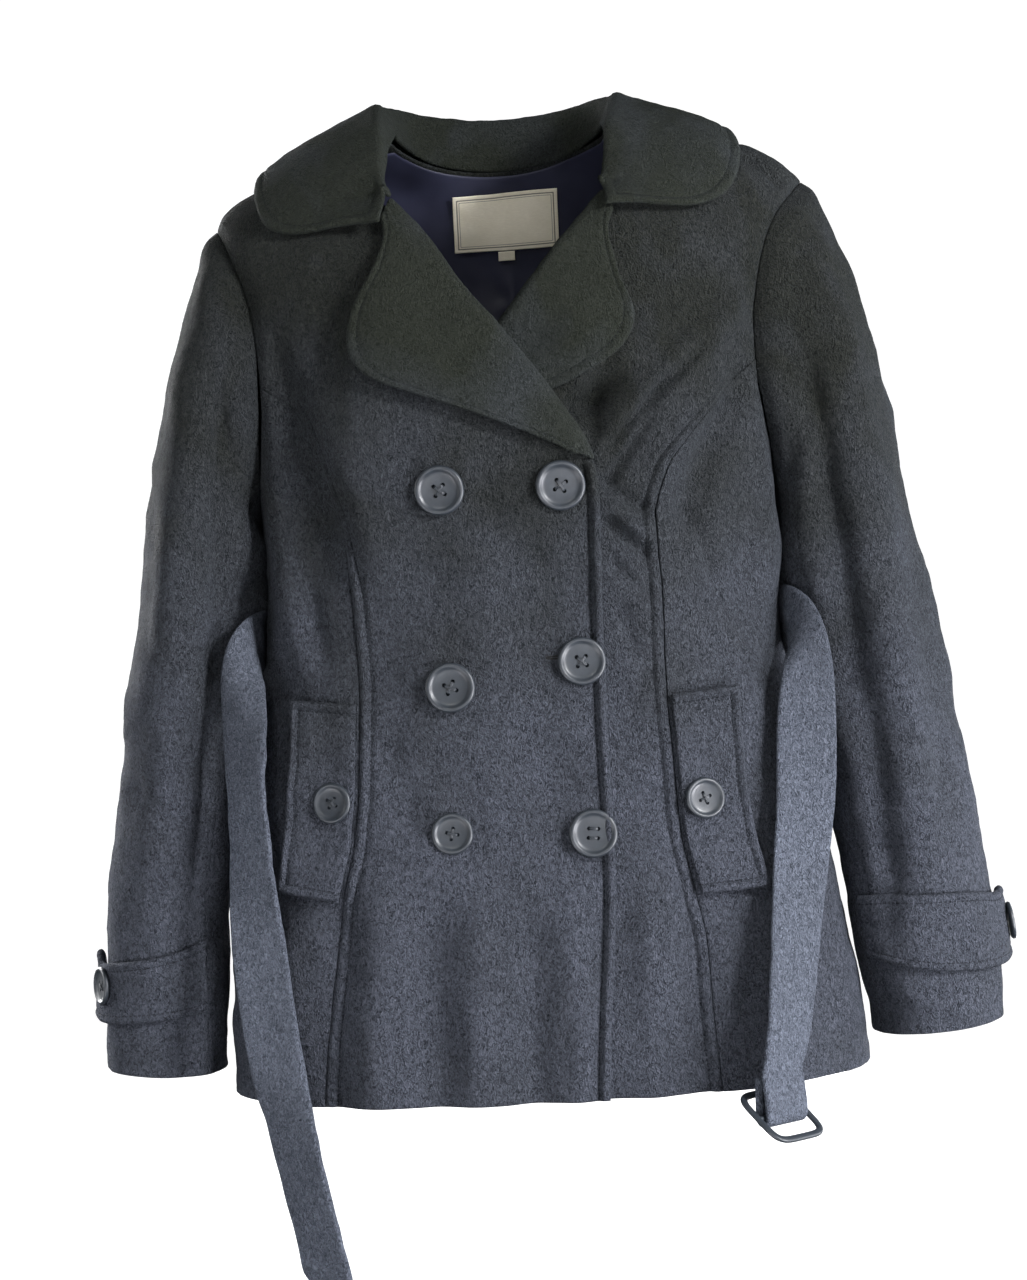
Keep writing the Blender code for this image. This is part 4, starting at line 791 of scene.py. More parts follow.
def lining_satin():
    """Woven acetate satin: long smooth floats that shine softly, with faint weft lines 0.5 mm apart."""
    made, tree, shader = principled("navy_acetate_satin", Roughness=0.5, Specular_IOR_Level=0.22)
    place = add_node(tree, "TexCoord").outputs["Object"]
    weft_at = add_node(tree, "Mapping", {"Vector": place, "Scale": lumps(0.5, 1.6)})
    weft = add_node(tree, "TexNoise", {"Vector": weft_at, "Scale": 1.0})
    cloud_at = add_node(tree, "Mapping", {"Vector": place, "Scale": lumps(30)})
    clouds = add_node(tree, "TexNoise", {"Vector": cloud_at, "Scale": 1.0})
    colour = add_node(tree, "Mix", {0: clouds, 6: "#1b1c2a", 7: "#343649"}, data_type="RGBA")
    bump = add_node(tree, "Bump", {"Height": weft, "Strength": 0.35, "Distance": 0.0003})
    fill(tree, shader, {"Base Color": colour, "Normal": bump})
    return made


def label_ribbon():
    """Cream woven polyester ribbon with a plain border of two woven lines and ribs 0.6 mm apart."""
    made, tree, shader = principled("cream_woven_ribbon", Roughness=0.75, Specular_IOR_Level=0.25)
    place = add_node(tree, "TexCoord").outputs["Object"]
    rib_at = add_node(tree, "Mapping", {"Vector": place, "Scale": lumps(0.6, 3.0)})
    ribs = add_node(tree, "TexNoise", {"Vector": rib_at, "Scale": 1.0, "Detail": 1.0})
    stain_at = add_node(tree, "Mapping", {"Vector": place, "Scale": lumps(14)})
    stain = add_node(tree, "TexNoise", {"Vector": stain_at, "Scale": 1.0, "Detail": 3.0})
    cream = add_node(tree, "Mix", {0: stain, 6: "#ded6c0", 7: "#f5efdf"}, data_type="RGBA")
    share = add_node(tree, "Math", {0: ribs, 1: 0.35}, operation="MULTIPLY")
    cream = add_node(tree, "Mix", {0: share, 6: cream, 7: "#b3aa94"}, data_type="RGBA")
    off = add_node(tree, "Attribute", attribute_name="stitch_off").outputs["Fac"]
    beside = add_node(tree, "Math", {0: off}, operation="ABSOLUTE")
    broad = add_node(tree, "Math", {0: beside, 1: 0.45}, operation="LESS_THAN")
    inner = add_node(tree, "Math", {0: off, 1: 1.7, 2: 0.2}, operation="COMPARE")
    lines = add_node(tree, "Math", {0: broad, 1: inner}, operation="MAXIMUM")
    share = add_node(tree, "Math", {0: lines, 1: 0.8}, operation="MULTIPLY")
    colour = add_node(tree, "Mix", {0: share, 6: cream, 7: "#4b4a48"}, data_type="RGBA")
    bump = add_node(tree, "Bump", {"Height": ribs, "Strength": 0.5, "Distance": 0.0004})
    fill(tree, shader, {"Base Color": colour, "Normal": bump})
    return made


def slate_resin():
    """Cast polyester resin: a thin clear skin over slate grey, with faint clouds and rubs."""
    made, tree, shader = principled("slate_polyester_resin", IOR=1.54, Coat_Weight=0.05, Coat_Roughness=0.2)
    place = add_node(tree, "TexCoord").outputs["Object"]
    cloud_at = add_node(tree, "Mapping", {"Vector": place, "Scale": lumps(5)})
    clouds = add_node(tree, "TexNoise", {"Vector": cloud_at, "Scale": 1.0, "Roughness": 0.6})
    rub_at = add_node(tree, "Mapping", {"Vector": place, "Scale": lumps(2.5, 0.5)})
    rubs = add_node(tree, "TexNoise", {"Vector": rub_at, "Scale": 1.0, "Detail": 3.0, "Roughness": 0.7})
    colour = add_node(tree, "Mix", {0: clouds, 6: "#1d2126", 7: "#2e343b"}, data_type="RGBA")
    rough = add_node(tree, "MapRange", {0: rubs, 1: 0.35, 2: 0.7, 3: 0.38, 4: 0.5})
    bump = add_node(tree, "Bump", {"Height": rubs, "Strength": 0.12, "Distance": 0.0001})
    fill(tree, shader, {"Base Color": colour, "Roughness": rough, "Normal": bump})
    return made


def twisted_thread(name, dark, light):
    """Spun polyester thread: matt, with a fine twist whose crests are painted lighter, a painted highlight.
    """
    made, tree, shader = principled(name, Roughness=0.7, Specular_IOR_Level=0.25, Sheen_Weight=0.2)
    place = add_node(tree, "TexCoord").outputs["Object"]
    twist_at = add_node(tree, "Mapping", {"Vector": place, "Scale": lumps(0.7, 0.35)})
    twist = add_node(tree, "TexNoise", {"Vector": twist_at, "Scale": 1.0, "Roughness": 0.6})
    # Painted highlight: the twist's crests are drawn lighter than its grooves.
    colour = add_node(tree, "Mix", {0: twist, 6: dark, 7: light}, data_type="RGBA")
    bump = add_node(tree, "Bump", {"Height": twist, "Strength": 0.6, "Distance": 0.0002})
    fill(tree, shader, {"Base Color": colour, "Normal": bump})
    return made


SATIN = lining_satin()
RIBBON = label_ribbon()
RESIN = slate_resin()
LOOP_THREAD = twisted_thread("grey_loop_thread", "#2c3036", "#565d68")
SEWING_THREAD = twisted_thread("dark_sewing_thread", "#15171b", "#3d424b")
BUTTONHOLE_TWIST = twisted_thread("black_buttonhole_twist", "#060708", "#131519")
FINISHES = (FLEECE, FELTED, BELTING, SATIN, RIBBON, RESIN, LOOP_THREAD, SEWING_THREAD, BUTTONHOLE_TWIST)
print("finishes:", [made.name for made in FINISHES])

# %% [markdown]
# ## Fronts, side fronts and back
# A jacket body is cut in flat panels that only curve when they are sewn together. The princess seams
# take in the waist, so the panels narrow there. Each panel is the torso's surface between two seam
# lines, at levels from the hem to the shoulder, and the folds are added on top. The inside is lined
# with satin down to the turned-up hem, with a wide fleece facing behind each front edge.

# %% Panels of the body


def spread(inner, outer, shares, levels):
    """x and z of points spaced by angle around the torso: x = width * sin(turn) between two lines."""
    inner_x, inner_z = at_levels(inner, levels)
    outer_x, outer_z = at_levels(outer, levels)
    ends = [
        np.arcsin(np.clip(x / half_width(x, z), -1, 1))[:, None]
        for x, z in ((inner_x, inner_z), (outer_x, outer_z))
    ]
    turn = ends[0] * (1 - shares) + ends[1] * shares
    x = inner_x[:, None] * (1 - shares) + outer_x[:, None] * shares
    for _ in range(30):
        x = half_width(x, level_z(x, levels[:, None])) * np.sin(turn)
    return x, level_z(x, levels[:, None])


def regrid(points, normals, step, start=PLAIN_EDGE, end=PLAIN_EDGE):
    """The same surface with its columns at fitted steps in millimetres along each row."""
    runs = borders(points)["left"]
    both = respaced(runs, np.concatenate([points, normals], axis=-1), step, start, end)
    return both[..., :3], unit(both[..., 3:])


BODY_STEP, BACK_STEP = 3.3, 4.2  # millimetres; the back is the widest piece, so its grid is coarser
SEAM_ROUNDING = 0.2  # a sewn edge is turned in less sharply than a free one
FACING_WIDTH = 72.0  # fleece behind a front edge
LEAN_RUN = 16.0  # the thickness turns over this distance from an armhole
FINE = np.linspace(0, 1, 360)


def panel_grid(inner, outer, surface, top=1.0, start=PLAIN_EDGE, end=PLAIN_EDGE, cut=None, step=BODY_STEP):
    """A torso panel's points and normals, measured in millimetres both ways. Rows run from the hem up;
    knots at 1 - (1 - t)^2 are closer at the shoulder, where a level goes over the roll."""
    knots = top * (1 - np.linspace(1, 0, 500) ** 2)

    def places(shares, levels):
        x, z = spread(inner, outer, shares, levels)
        return (x, z) if cut is None else cut(x, levels)

    def middle(levels):
        return surface(*places(np.full((len(levels), 1), 0.5), levels))[0][:, 0]

    levels = even_knots(middle, knots, step)
    points, normals = surface(*places(np.tile(FINE, (len(levels), 1)), levels))
    return regrid(points, normals, step, start, end)


print("grid steps", BODY_STEP, BACK_STEP, "mm")

# %% [markdown]
# ## Sleeves
# A two-piece sleeve has a wide upper half over the outside of the arm and a narrow under half, with
# seams at the front and the back. Its cap is the armhole's own curve, so body and sleeve share one line,
# and a table of sections carries it down the arm to the cuff. A real arm hangs slightly bent, so the
# sections drift forward and out.

# %% Sleeve tables and surface
SLEEVE = {
    RIGHT: table(
        "in_x in_z out_x out_z y depth",
        (186.5, -236, 217, -40, 1, 60), (187.5, -247, 231, -85, 2, 61),
        (188.5, -260, 244, -128, 3, 60), (190.5, -276, 255.5, -175, 4, 59),
        (193, -294, 264, -215, 5, 58), (195.5, -315, 272.3, -256, 6, 57),
        (199.5, -352, 282.5, -322, 7, 55), (207.5, -414, 294, -402, 7, 52),
        (217, -472, 303.5, -465, 6, 49), (224.5, -532, 311.5, -524, 5, 46.5),
        (228.5, -582, 313.5, -573, 4, 45), (229.5, -625, 315.8, -618.5, 4, 44.5),
    ),
    LEFT: table(
        "in_x in_z out_x out_z y depth",
        (188, -242, 230, -28, 1, 60), (188.7, -252, 247, -74, 2, 61),
        (189.5, -264, 259.5, -114, 3, 60), (191.5, -279, 268, -156, 4, 59),
        (193.5, -296, 276.5, -205, 5, 58), (196, -317, 285, -252, 6, 57),
        (200.5, -354, 299, -322, 7, 56), (206.5, -415, 311, -405, 7, 54),
        (215.5, -472, 320.5, -467, 6, 51), (224.5, -532, 326.5, -524, 5, 48.5),
        (232, -582, 331.5, -573, 4, 47), (236.5, -622, 332, -614, 4, 46.5),
    ),
}
SEAM_LEVEL = {FRONT: 0.675, BACK: 0.745}  # torso levels where the sleeve's seams start
SLEEVE_SEAM_RADIUS = 28.0


def wrapped(angle):
    """The same angle between -180 and 180."""
    return (np.asarray(angle, float) + 180) % 360 - 180


def armhole_point(side, angle):
    """The armhole's curve by angle: 0 at the shoulder, 180 at the armpit, positive by the front."""
    angle = wrapped(angle)
    share = (1 - np.cos(np.radians(angle))) / 2
    z = SHOULDER_Z[side] + share * (ARMPIT_Z[side] - SHOULDER_Z[side])
    front, back = (torso(face, side * ARMHOLE_X[side, face](share), z)[0] for face in (FRONT, BACK))
    return np.where((angle >= 0)[..., None], front, back)


def sleeve_points(side, stations, angles):
    """Rings at the armhole and at each section, joined along the sleeve. A ring is
    middle + (outer - inner) / 2 * cos(angle) + forward * depth * sin(angle)."""
    rows, angles = SLEEVE[side], np.asarray(angles, float)
    turn = np.radians(angles)[:, None]
    inner = np.stack([side * rows["in_x"], rows["y"], rows["in_z"]], axis=-1)[:, None]
    outer = np.stack([side * rows["out_x"], rows["y"], rows["out_z"]], axis=-1)[:, None]
    forward = np.array([0.0, FRONT, 0.0]) * rows["depth"][:, None, None]
    rings = (inner + outer) / 2 + (outer - inner) / 2 * np.cos(turn) + forward * np.sin(turn)
    start = armhole_point(side, angles) + [side * SEAM / 2, 0, 0]
    return smooth(np.arange(len(rings) + 1.0), np.concatenate([start[None], rings]))(stations)


def sleeve(side, stations, angles):
    """Points on a grid of stations and angles, and normals from the steps along and around."""
    stations, angles = np.asarray(stations, float), np.asarray(angles, float)
    points = sleeve_points(side, stations, angles)
    last = len(SLEEVE[side]["y"])
    before = sleeve_points(side, np.maximum(stations - 0.05, 0), angles)
    after = sleeve_points(side, np.minimum(stations + 0.05, last), angles)
    around = sleeve_points(side, stations, angles + 2) - sleeve_points(side, stations, angles - 2)
    return points, unit(np.cross(after - before, around)) * -side


def seam_normals(side, angles):
    """Thickness directions of the body and of the sleeve at the armhole, the same where both bulge."""
    angles = wrapped(angles)
    curve = armhole_point(side, angles)
    faces = [torso(face, curve[..., 0], curve[..., 2])[1] for face in (FRONT, BACK)]
    body = np.where((angles >= 0)[..., None], faces[0], faces[1])
    arm = sleeve(side, [0.0], angles)[1][0]
    share = ease(np.sum(body * arm, axis=-1, keepdims=True) / 0.6)
    both = unit(body + arm + 1e-6)
    return unit(body + (both - body) * share), unit(arm + (both - arm) * share)


CAP_ROLL_Z = -215.0  # the roll along the sleeve seam goes down the armhole to this height


def draped_sleeve(points, normals, cap_run=FAR):
    """The sleeve's cloth with its folds, which start below the cap, and a roll along the seam:
    1.6 * exp(-((run - 13) / 9)^2)."""
    run = np.broadcast_to(cap_run, points.shape[:-1])
    slack = 0.7 * ripples(points, 70, 5) + 0.5 * ripples(points, 32, 6)
    height = (fold_height(points, normals, SLEEVE_FOLDS) + slack) * ease(run / 30)
    cap_z = np.broadcast_to(points[:1, :, 2], run.shape)
    roll = 1.6 * np.exp(-(((run - 13) / 9) ** 2)) * (cap_z > CAP_ROLL_Z)
    height = height + np.where(run < 90, roll - seam_dip(run, cap_z), 0)
    return points + normals * height[..., None], normals


def seam_angle(side, face):
    """The angle at which a sleeve seam starts on the armhole."""
    z = at_levels(armhole_line(side, face), np.array([SEAM_LEVEL[face]]))[1][0]
    return float(-face * np.degrees(np.arccos(1 - 2 * armhole_share(side, z))))


def sleeve_grid(side, start, end):
    """A sleeve half between two angles. The first rows lean towards the thickness shared with the body."""
    middle = [(start + end) / 2]
    knots = np.linspace(0, len(SLEEVE[side]["y"]), 600)
    stations = even_knots(lambda s: sleeve(side, s, middle)[0][:, 0], knots, BODY_STEP)
    angles = start + (end - start) * FINE
    points, normals = sleeve(side, stations, angles)
    shared = seam_normals(side, angles)[1]
    lean = ease(1 - borders(points)["low"] / LEAN_RUN)[..., None]
    normals = unit(normals * (1 - lean) + shared[None] * lean)
    return regrid(points, normals, BODY_STEP)


print("sleeve seams at", {f: round(seam_angle(RIGHT, f)) for f in (FRONT, BACK)}, "degrees")

# %% Sew the body


def lean_to_sleeve(points, normals, side, face, border):
    """Turns a panel's thickness at the armhole to the direction that it shares with the sleeve."""
    edge = points[:, -1 if border == "right" else 0]
    share = armhole_share(side, edge[:, 2])
    angle = -face * np.degrees(np.arccos(np.clip(1 - 2 * share, -1, 1)))
    shared = seam_normals(side, angle)[0]
    there = (share < 1.001) & (np.abs(edge[:, 0]) > ARMHOLE_X[side, face](share) - 1)
    lean = (ease(1 - borders(points)[border] / LEAN_RUN) * there[:, None])[..., None]
    return unit(normals * (1 - lean) + shared[:, None] * lean)


def sew_front(side):
    """A centre front, topstitched along its edge and the princess seam. The right one's edge is raised
    over the left one by 2.4 * exp(-(run / 8)^2)."""
    points, normals = panel_grid(
        edge_line(side), princess_line(side, -1), flat_front(side), start=STITCHED_EDGE, end=STITCHED_EDGE
    )
    normals = lean_to_sleeve(points, normals, side, FRONT, "right")
    points, normals = draped(points, normals)
    runs = borders(points)
    if side == RIGHT:
        raised = 2.4 * np.exp(-((runs["left"] / 8) ** 2)) * ease((-200 - points[..., 2]) / 20)
        points = points + normals * raised[..., None]
    lined = ((runs["low"] > HEM_TURN) & (runs["left"] > FACING_WIDTH)).astype(float)
    stitched = {"left": TOPSTITCH, "right": TOPSTITCH + 0.6}
    # the stitching starts below the lapel at the edge, and below the armhole at the seam
    fade = {"left": 1.6 * ease((-205 - points[..., 2]) / 12), "right": ease((-150 - points[..., 2]) / 20)}
    sew("front_" + SIDES[side], points, normals, CLOTH, [FLEECE, SATIN], stitched, fade, lined)


def sew_side_front(side):
    """A side front, from the hem to the level where its two seams meet."""
    inner, outer = princess_line(side, 1), armhole_line(side, FRONT)
    levels = np.linspace(SIDE_FRONT_TOP - 0.1, SIDE_FRONT_TOP, 400)
    gap = np.abs(at_levels(outer, levels)[0]) - np.abs(at_levels(inner, levels)[0])
    top = float(levels[np.flatnonzero(gap > 0.04)[-1]])
    points, normals = panel_grid(inner, outer, flat_front(RIGHT), top=top)
    normals = lean_to_sleeve(points, normals, side, FRONT, "right")
    points, normals = draped(points, normals)
    lined = (borders(points)["low"] > HEM_TURN).astype(float)
    node = f"front_{SIDES[side]}_side"
    sew(node, points, normals, CLOTH, [FLEECE, SATIN], lined=lined, rounding=SEAM_ROUNDING)


for sew_part in (sew_front, sew_side_front):
    for side in SIDES:
        sew_part(side)

# %% Sew the back


def neck_cut(x, levels):
    """Brings the levels of the back above 0.7 down to the neckline, which dips as (x / NECK_X)^2.2."""
    out = np.clip(np.abs(x[-1]) / NECK_X, 0, 1)
    neckline = NECK_BACK_Z + (NECK_SIDE_Z - NECK_BACK_Z) * out**2.2
    cut = np.where(out < 1, (neckline - HEM) / (ridge(x[-1]) - HEM), 1.0)
    fade = ease((levels - 0.7) / 0.3)[:, None]
    return x, level_z(x, levels[:, None] * (1 - fade * (1 - cut)))


ends = armhole_line(RIGHT, BACK), armhole_line(LEFT, BACK)
BACK_GRID = panel_grid(*ends, lambda x, z: torso(BACK, x, z), cut=neck_cut, step=BACK_STEP)
points, normals = BACK_GRID
for side, border in ((RIGHT, "left"), (LEFT, "right")):
    normals = lean_to_sleeve(points, normals, side, BACK, border)
sew("back", *draped(points, normals), CLOTH, [FLEECE], rounding=SEAM_ROUNDING)

# %% Sew the sleeves


def sew_sleeve(side):
    """The two halves of a sleeve, lined down to the turned-up cuff."""
    gap = math.degrees(SEAM / 2 / SLEEVE_SEAM_RADIUS)
    front, back = seam_angle(side, FRONT), seam_angle(side, BACK)
    halves = {"upper": (back + gap, front - gap), "under": (front + gap, back - gap + 360)}
    for half, (start, end) in halves.items():
        points, normals = sleeve_grid(side, start, end)
        points, normals = draped_sleeve(points, normals, borders(points)["low"])
        lined = (borders(points)["high"] > HEM_TURN).astype(float)
        node = f"sleeve_{SIDES[side]}_{half}"
        sew(node, points, normals, CLOTH, [FLEECE, SATIN], lined=lined, rounding=SEAM_ROUNDING)


for side in SIDES:
    sew_sleeve(side)

# %% [markdown]
# ## Lining, label and size tag
# The neck opening shows the inside of the back: a navy satin lining with a pleat of spare width down
# its middle, and a cream woven label sewn to it with a small tag below. The lining is a sheet of its own
# a little inside the back. The label is left plain, with only its woven border.

# %% Lining, label and tag
LINING_REST, LABEL_REST = 1.9, 2.4


def lining_surface(x, z, depth):
    """Points inside the back at a depth below its cloth, and normals that face into the coat. The
    lining follows the folds of the back, because it is sewn into the same seams."""
    points, normals = draped(*torso(BACK, x, z))
    return points - normals * (CLOTH + LINING_REST + depth), -normals


def lining_creases(points):
    """A centre pleat, 2.2 * (1 / (1 + exp(-(x - 3) / 0.7)) - ease((x - 3) / 46)), and soft slanting
    wrinkles, stronger below the label."""
    x, z = points[..., 0], points[..., 2]
    pleat = 2.2 * (1 / (1 + np.exp(-(x - 3) / 0.7)) - ease((x - 3) / 46)) * ease((-44 - z) / 20)
    slack = 1.2 * ripples(points * [1, 1, 0.35], 26, 8) + 0.4 * ripples(points, 14, 9)
    return pleat + slack * ease((-34 - z) / 30) + 0.15 * slack


inside = BACK_GRID[0][8:-2, 3:-3]  # without the rows at the hem, the neck and the armholes
points, normals = lining_surface(inside[..., 0], inside[..., 2], LINING)
points = points + normals * np.maximum(lining_creases(points) - 0.4, -1.0)[..., None]
sew("lining_back", points, normals, LINING, [SATIN], nap=0.0)


def sew_tag(node, x_range, z_range, thickness, step, **more):
    """A small flat piece on the lining: a grid in x and z, turned 1.2 degrees."""
    columns = np.arange(x_range[0], x_range[1] + step / 2, step)
    rows = np.linspace(*z_range, int((z_range[1] - z_range[0]) / step))
    across, up = np.meshgrid(columns, rows)
    up = up + (across - np.mean(x_range)) * math.tan(math.radians(1.2))
    points, normals = lining_surface(across, up, LINING + LABEL_REST + thickness)
    points = points + normals * (0.25 * ripples(points, 26, 12))[..., None]
    return sew(node, points, normals, thickness, [RIBBON], held="laid", nap=0.03, pad=0.0, furrow=0.12,
               **more)


# The size tag is narrower than any sheet may be, so it counts as a piece on the label.
size_tag = sew_tag("size_tag", (-3.5, 9.0), (-37.5, -30.2), 0.6, 0.5, is_sheet=False)
BORDER = dict.fromkeys(("left", "right", "low", "high"), 3.0)
sew_tag("label", (-37.0, 43.5), (-29.5, 11.5), 0.8, 0.7, stitched=BORDER, with_pieces=[size_tag])

# %% [markdown]
# ## Lapels and collar
# A lapel is the top of the front turned back over itself along the roll line. Its section starts as a
# facing inside the coat, goes around the roll in a loose bend and lies on the chest. A collar is a
# strip with a stand that rises from the neckline, rolls over and falls on the shoulders. Both are a
# family of sections: a spline through each section, then splines across the family.

# %% Splines


def flowing(knots, values):
    """A cubic spline with continuous bending through its values. The second derivatives m solve
    h0 * m0 + 2 (h0 + h1) * m1 + h1 * m2 = 6 (slope1 - slope0), with m = 0 at the ends."""
    knots, values = np.asarray(knots, float), np.asarray(values, float)
    flat = values.reshape(len(knots), -1)
    h = np.diff(knots)
    slopes = np.diff(flat, axis=0) / h[:, None]
    system = np.eye(len(knots))
    right = np.zeros_like(flat)
    for i in range(1, len(knots) - 1):
        system[i, i - 1 : i + 2] = h[i - 1], 2 * (h[i - 1] + h[i]), h[i]
        right[i] = 6 * (slopes[i] - slopes[i - 1])
    m = np.linalg.solve(system, right)

    def at(place):
        place = np.clip(np.asarray(place, float), knots[0], knots[-1])
        i = np.clip(np.searchsorted(knots, place, "right") - 1, 0, len(h) - 1)
        a, b = (knots[i + 1] - place)[:, None], (place - knots[i])[:, None]
        step = h[i][:, None]
        ends = (m[i] * a**3 + m[i + 1] * b**3) / (6 * step)
        line = (flat[i] / step - m[i] * step / 6) * a + (flat[i + 1] / step - m[i + 1] * step / 6) * b
        return (ends + line).reshape(place.shape + values.shape[1:])

    return at


def chord_knots(points):
    """Knots for a spline through rows of points: distances between the rows, averaged over the columns."""
    steps = np.linalg.norm(np.diff(points, axis=0), axis=-1)
    return np.concatenate([[0], np.cumsum(steps.reshape(len(steps), -1).mean(axis=1))])


def loft(control, row_step, row_edge=PLAIN_EDGE):
    """A fine grid through a coarse one: splines along its columns, then along its rows."""
    knots = chord_knots(control)
    dense = flowing(knots, control)(fitted_steps(knots[-1], row_step, row_edge, row_edge)[0])
    turned = dense.transpose(1, 0, 2)
    knots = chord_knots(turned)
    return flowing(knots, turned)(np.linspace(0, knots[-1], 300)).transpose(1, 0, 2)


# %% Lapels
LAPEL = {
    RIGHT: table(
        "roll_x roll_z edge_x edge_z",
        (-77, -23, -83, -37), (-70.5, -32.5, -81, -49.5), (-63, -41.5, -85, -62),
        (-53, -55, -90.5, -74), (-44, -70, -98, -85), (-30, -90, -107.5, -106),
        (-15, -108, -107.5, -128), (2, -131, -92, -147), (17, -152, -58, -162),
        (32, -173, -20, -177), (44, -194, 18, -193), (51, -208, 40, -203.5),
    ),
    LEFT: table(
        "roll_x roll_z edge_x edge_z",
        (71, -24.5, 75.5, -39), (64.5, -32.5, 71, -51), (54.5, -45, 73, -68),
        (41, -60, 78, -90), (28, -75, 84, -106), (15, -90, 82.5, -122), (5, -102, 71.5, -137),
        (-5, -113, 50, -149.5), (-13, -123, 30, -158), (-20, -133, 8, -161),
    ),
}
LAPEL_FOLD = table(
    "across lift plain_across plain_lift",
    (13, -6.6, -2.5, -2.2), (4, -6.6, -2.9, -1.6), (-1.8, -5.0, -3.1, -1.0),
    (-3.6, -1.6, -3.1, -0.2), (-1.5, 1.9, -1.5, 1.9), (4, 3.4, 3.4, 3.4),
)
LAPEL_ACROSS = table("share lift spring", (0.32, 4.2, 0.3), (0.64, 4.8, 1.8), (1, 4.2, 3.4))


def lapel_control(side, surface, plain_from, rest):
    """Sections across the roll line: the facing behind the front, the bend, and the lapel itself,
    which springs up towards its free edge where it is broad. Below plain_from the facing stops short,
    because the other front lies there."""
    rows = LAPEL[side]
    roll = np.stack([rows["roll_x"], rows["roll_z"]], axis=-1)
    edge = np.stack([rows["edge_x"], rows["edge_z"]], axis=-1)
    width = np.linalg.norm(edge - roll, axis=-1, keepdims=True)
    outward = (edge - roll) / width
    plain = ease((plain_from - roll[:, 1:]) / 25)
    short = np.minimum(1.0, width / 21)
    columns = []
    for a, h, plain_a, plain_h in zip(*LAPEL_FOLD.values()):
        across = (a + (plain_a - a) * np.minimum(1, 2 * plain)) * short
        lift = h + (plain_h - h) * np.maximum(0, 2 * plain - 1) + rest * (h > 0)
        columns.append((roll + outward * across, lift[:, 0]))
    broad = ease((width[:, 0] - 21) / 25)
    for share, lift, spring in zip(*LAPEL_ACROSS.values()):
        across = np.maximum(width * share, 4.0 * short + 4.0 * share)
        columns.append((roll + outward * across, lift + rest + spring * broad))
    made = []
    for place, lift in columns:
        points, normals = surface(place[:, 0], place[:, 1])
        made.append(points + normals * lift[:, None])
    return np.stack(made, axis=1)


def sew_middle(node, middle, thickness, stitched, facing, nap):
    """A folded piece from the middle of its cloth: the top is half a thickness out."""
    normals = grid_normals(middle, facing)
    top = middle + normals * thickness / 2
    sew(node, top, normals, thickness, [FELTED], stitched, held="folded", nap=nap, pad=0.5, furrow=0.45)


def sew_lapel(side, plain_from, rest=0.0):
    """A lapel, which lies rest mm higher, with its facing shortened below plain_from."""
    dense = loft(lapel_control(side, folded_front(side), plain_from, rest), 2.4)
    middle = respaced(borders(dense)["left"], dense, 2.2, PLAIN_EDGE, STITCHED_EDGE)
    sew_middle("lapel_" + SIDES[side], middle, DOUBLE, {"right": TOPSTITCH}, [0, FRONT, 0], nap=0.12)


sew_lapel(RIGHT, -92.0)
sew_lapel(LEFT, -52.0, rest=1.3)

# %% Collar
COLLAR = table(
    "base_x base_z roll_right roll_left roll_y roll_z edge_right edge_left drop behind lift",
    (0, 22, 0, 0, 73, 63, 0, 0, 66, 1, 4), (26, 23.5, 29, 29, 70, 64, 46, 46, 62, 1, 4),
    (50, 28, 56, 56, 58, 65.5, 91, 91, 46, 1, 4), (65, 34.5, 76, 77, 38, 66, 131, 130, 24, 1, 6),
    (72.3, 38, 87, 88, 14, 62, 159, 155, 8, 1, 7), (74.5, 32, 90, 88, -8, 54, 171, 166, 2, -1, 6.5),
    (77, 22, 89, 84, -26, 42, 172, 168, 10, -1, 4.6), (78, 12, 88, 81, -40, 29, 169, 166, 27, -1, 3.8),
    (79, 4, 87, 78, -50, 16, 162, 159, 44, -1, 3.8), (79.5, -2, 86, 75, -57, 5, 148, 146, 57, -1, 4),
    (79.5, -6, 84.5, 73.5, -62, -4, 124, 128, 66, -1, 6),
    (78, -11, 82.5, 71.5, -67, -11, 103, 100, 72, -1, 9.2),
    (76, -17, 80.5, 69, -75.5, -17.5, 82, 69.5, 79, -1, 13.8),
)
COLLAR_STATIONS = (0, 1, 2, 3, 3.9, 4.8, 5.8, 7, 8.2, 9.3, 10.3, 11.2, 12)
STAND_SHARES = np.linspace(0, 0.93, 12)
FALL_SHARES = np.linspace(0, 1, 28)


def bezier(corners, shares):
    """(1-t)^3 a + 3 t (1-t)^2 b + 3 t^2 (1-t) c + t^3 d."""
    a, b, c, d = corners
    t = shares[:, None]
    return a * (1 - t) ** 3 + 3 * b * t * (1 - t) ** 2 + 3 * c * t**2 * (1 - t) + d * t**3


def collar_profile(side, station):
    """One section of the collar: up the stand, over the roll and down the fall to the edge."""
    knots = np.arange(float(len(COLLAR["lift"])))
    row = {name: float(smooth(knots, COLLAR[name])(station)) for name in COLLAR}
    face = BACK if row["behind"] > 0 else FRONT
    base_x = side * row["base_x"]
    if side == LEFT and face == FRONT:
        base_x = float(EDGE_X[LEFT](row["base_z"])) - 1.6
    foot, foot_normal = torso(face, base_x, row["base_z"])
    roll = np.array([side * row["roll_" + SIDES[side]], row["roll_y"], row["roll_z"]])
    edge_x = side * row["edge_" + SIDES[side]]
    edge, edge_normal = draped(*torso(face, edge_x, float(ridge(edge_x)) - row["drop"]))
    edge = edge + edge_normal * row["lift"]
    rise = unit(roll - foot)
    foot = foot - foot_normal * CLOTH / 2 + rise * 1.5
    fall = edge - roll
    out = unit(fall - rise * np.dot(fall, rise))
    height, length = np.linalg.norm(roll - foot), np.linalg.norm(fall)
    stand = (foot, foot + rise * height * 0.5, roll - out * min(9.0, 0.5 * height), roll)
    flat = edge + (roll - edge) * 0.34 + edge_normal * length * 0.1
    turned = (roll, roll + out * min(13.0, 0.3 * length), flat, edge)
    return np.concatenate([bezier(stand, STAND_SHARES), bezier(turned, FALL_SHARES)])


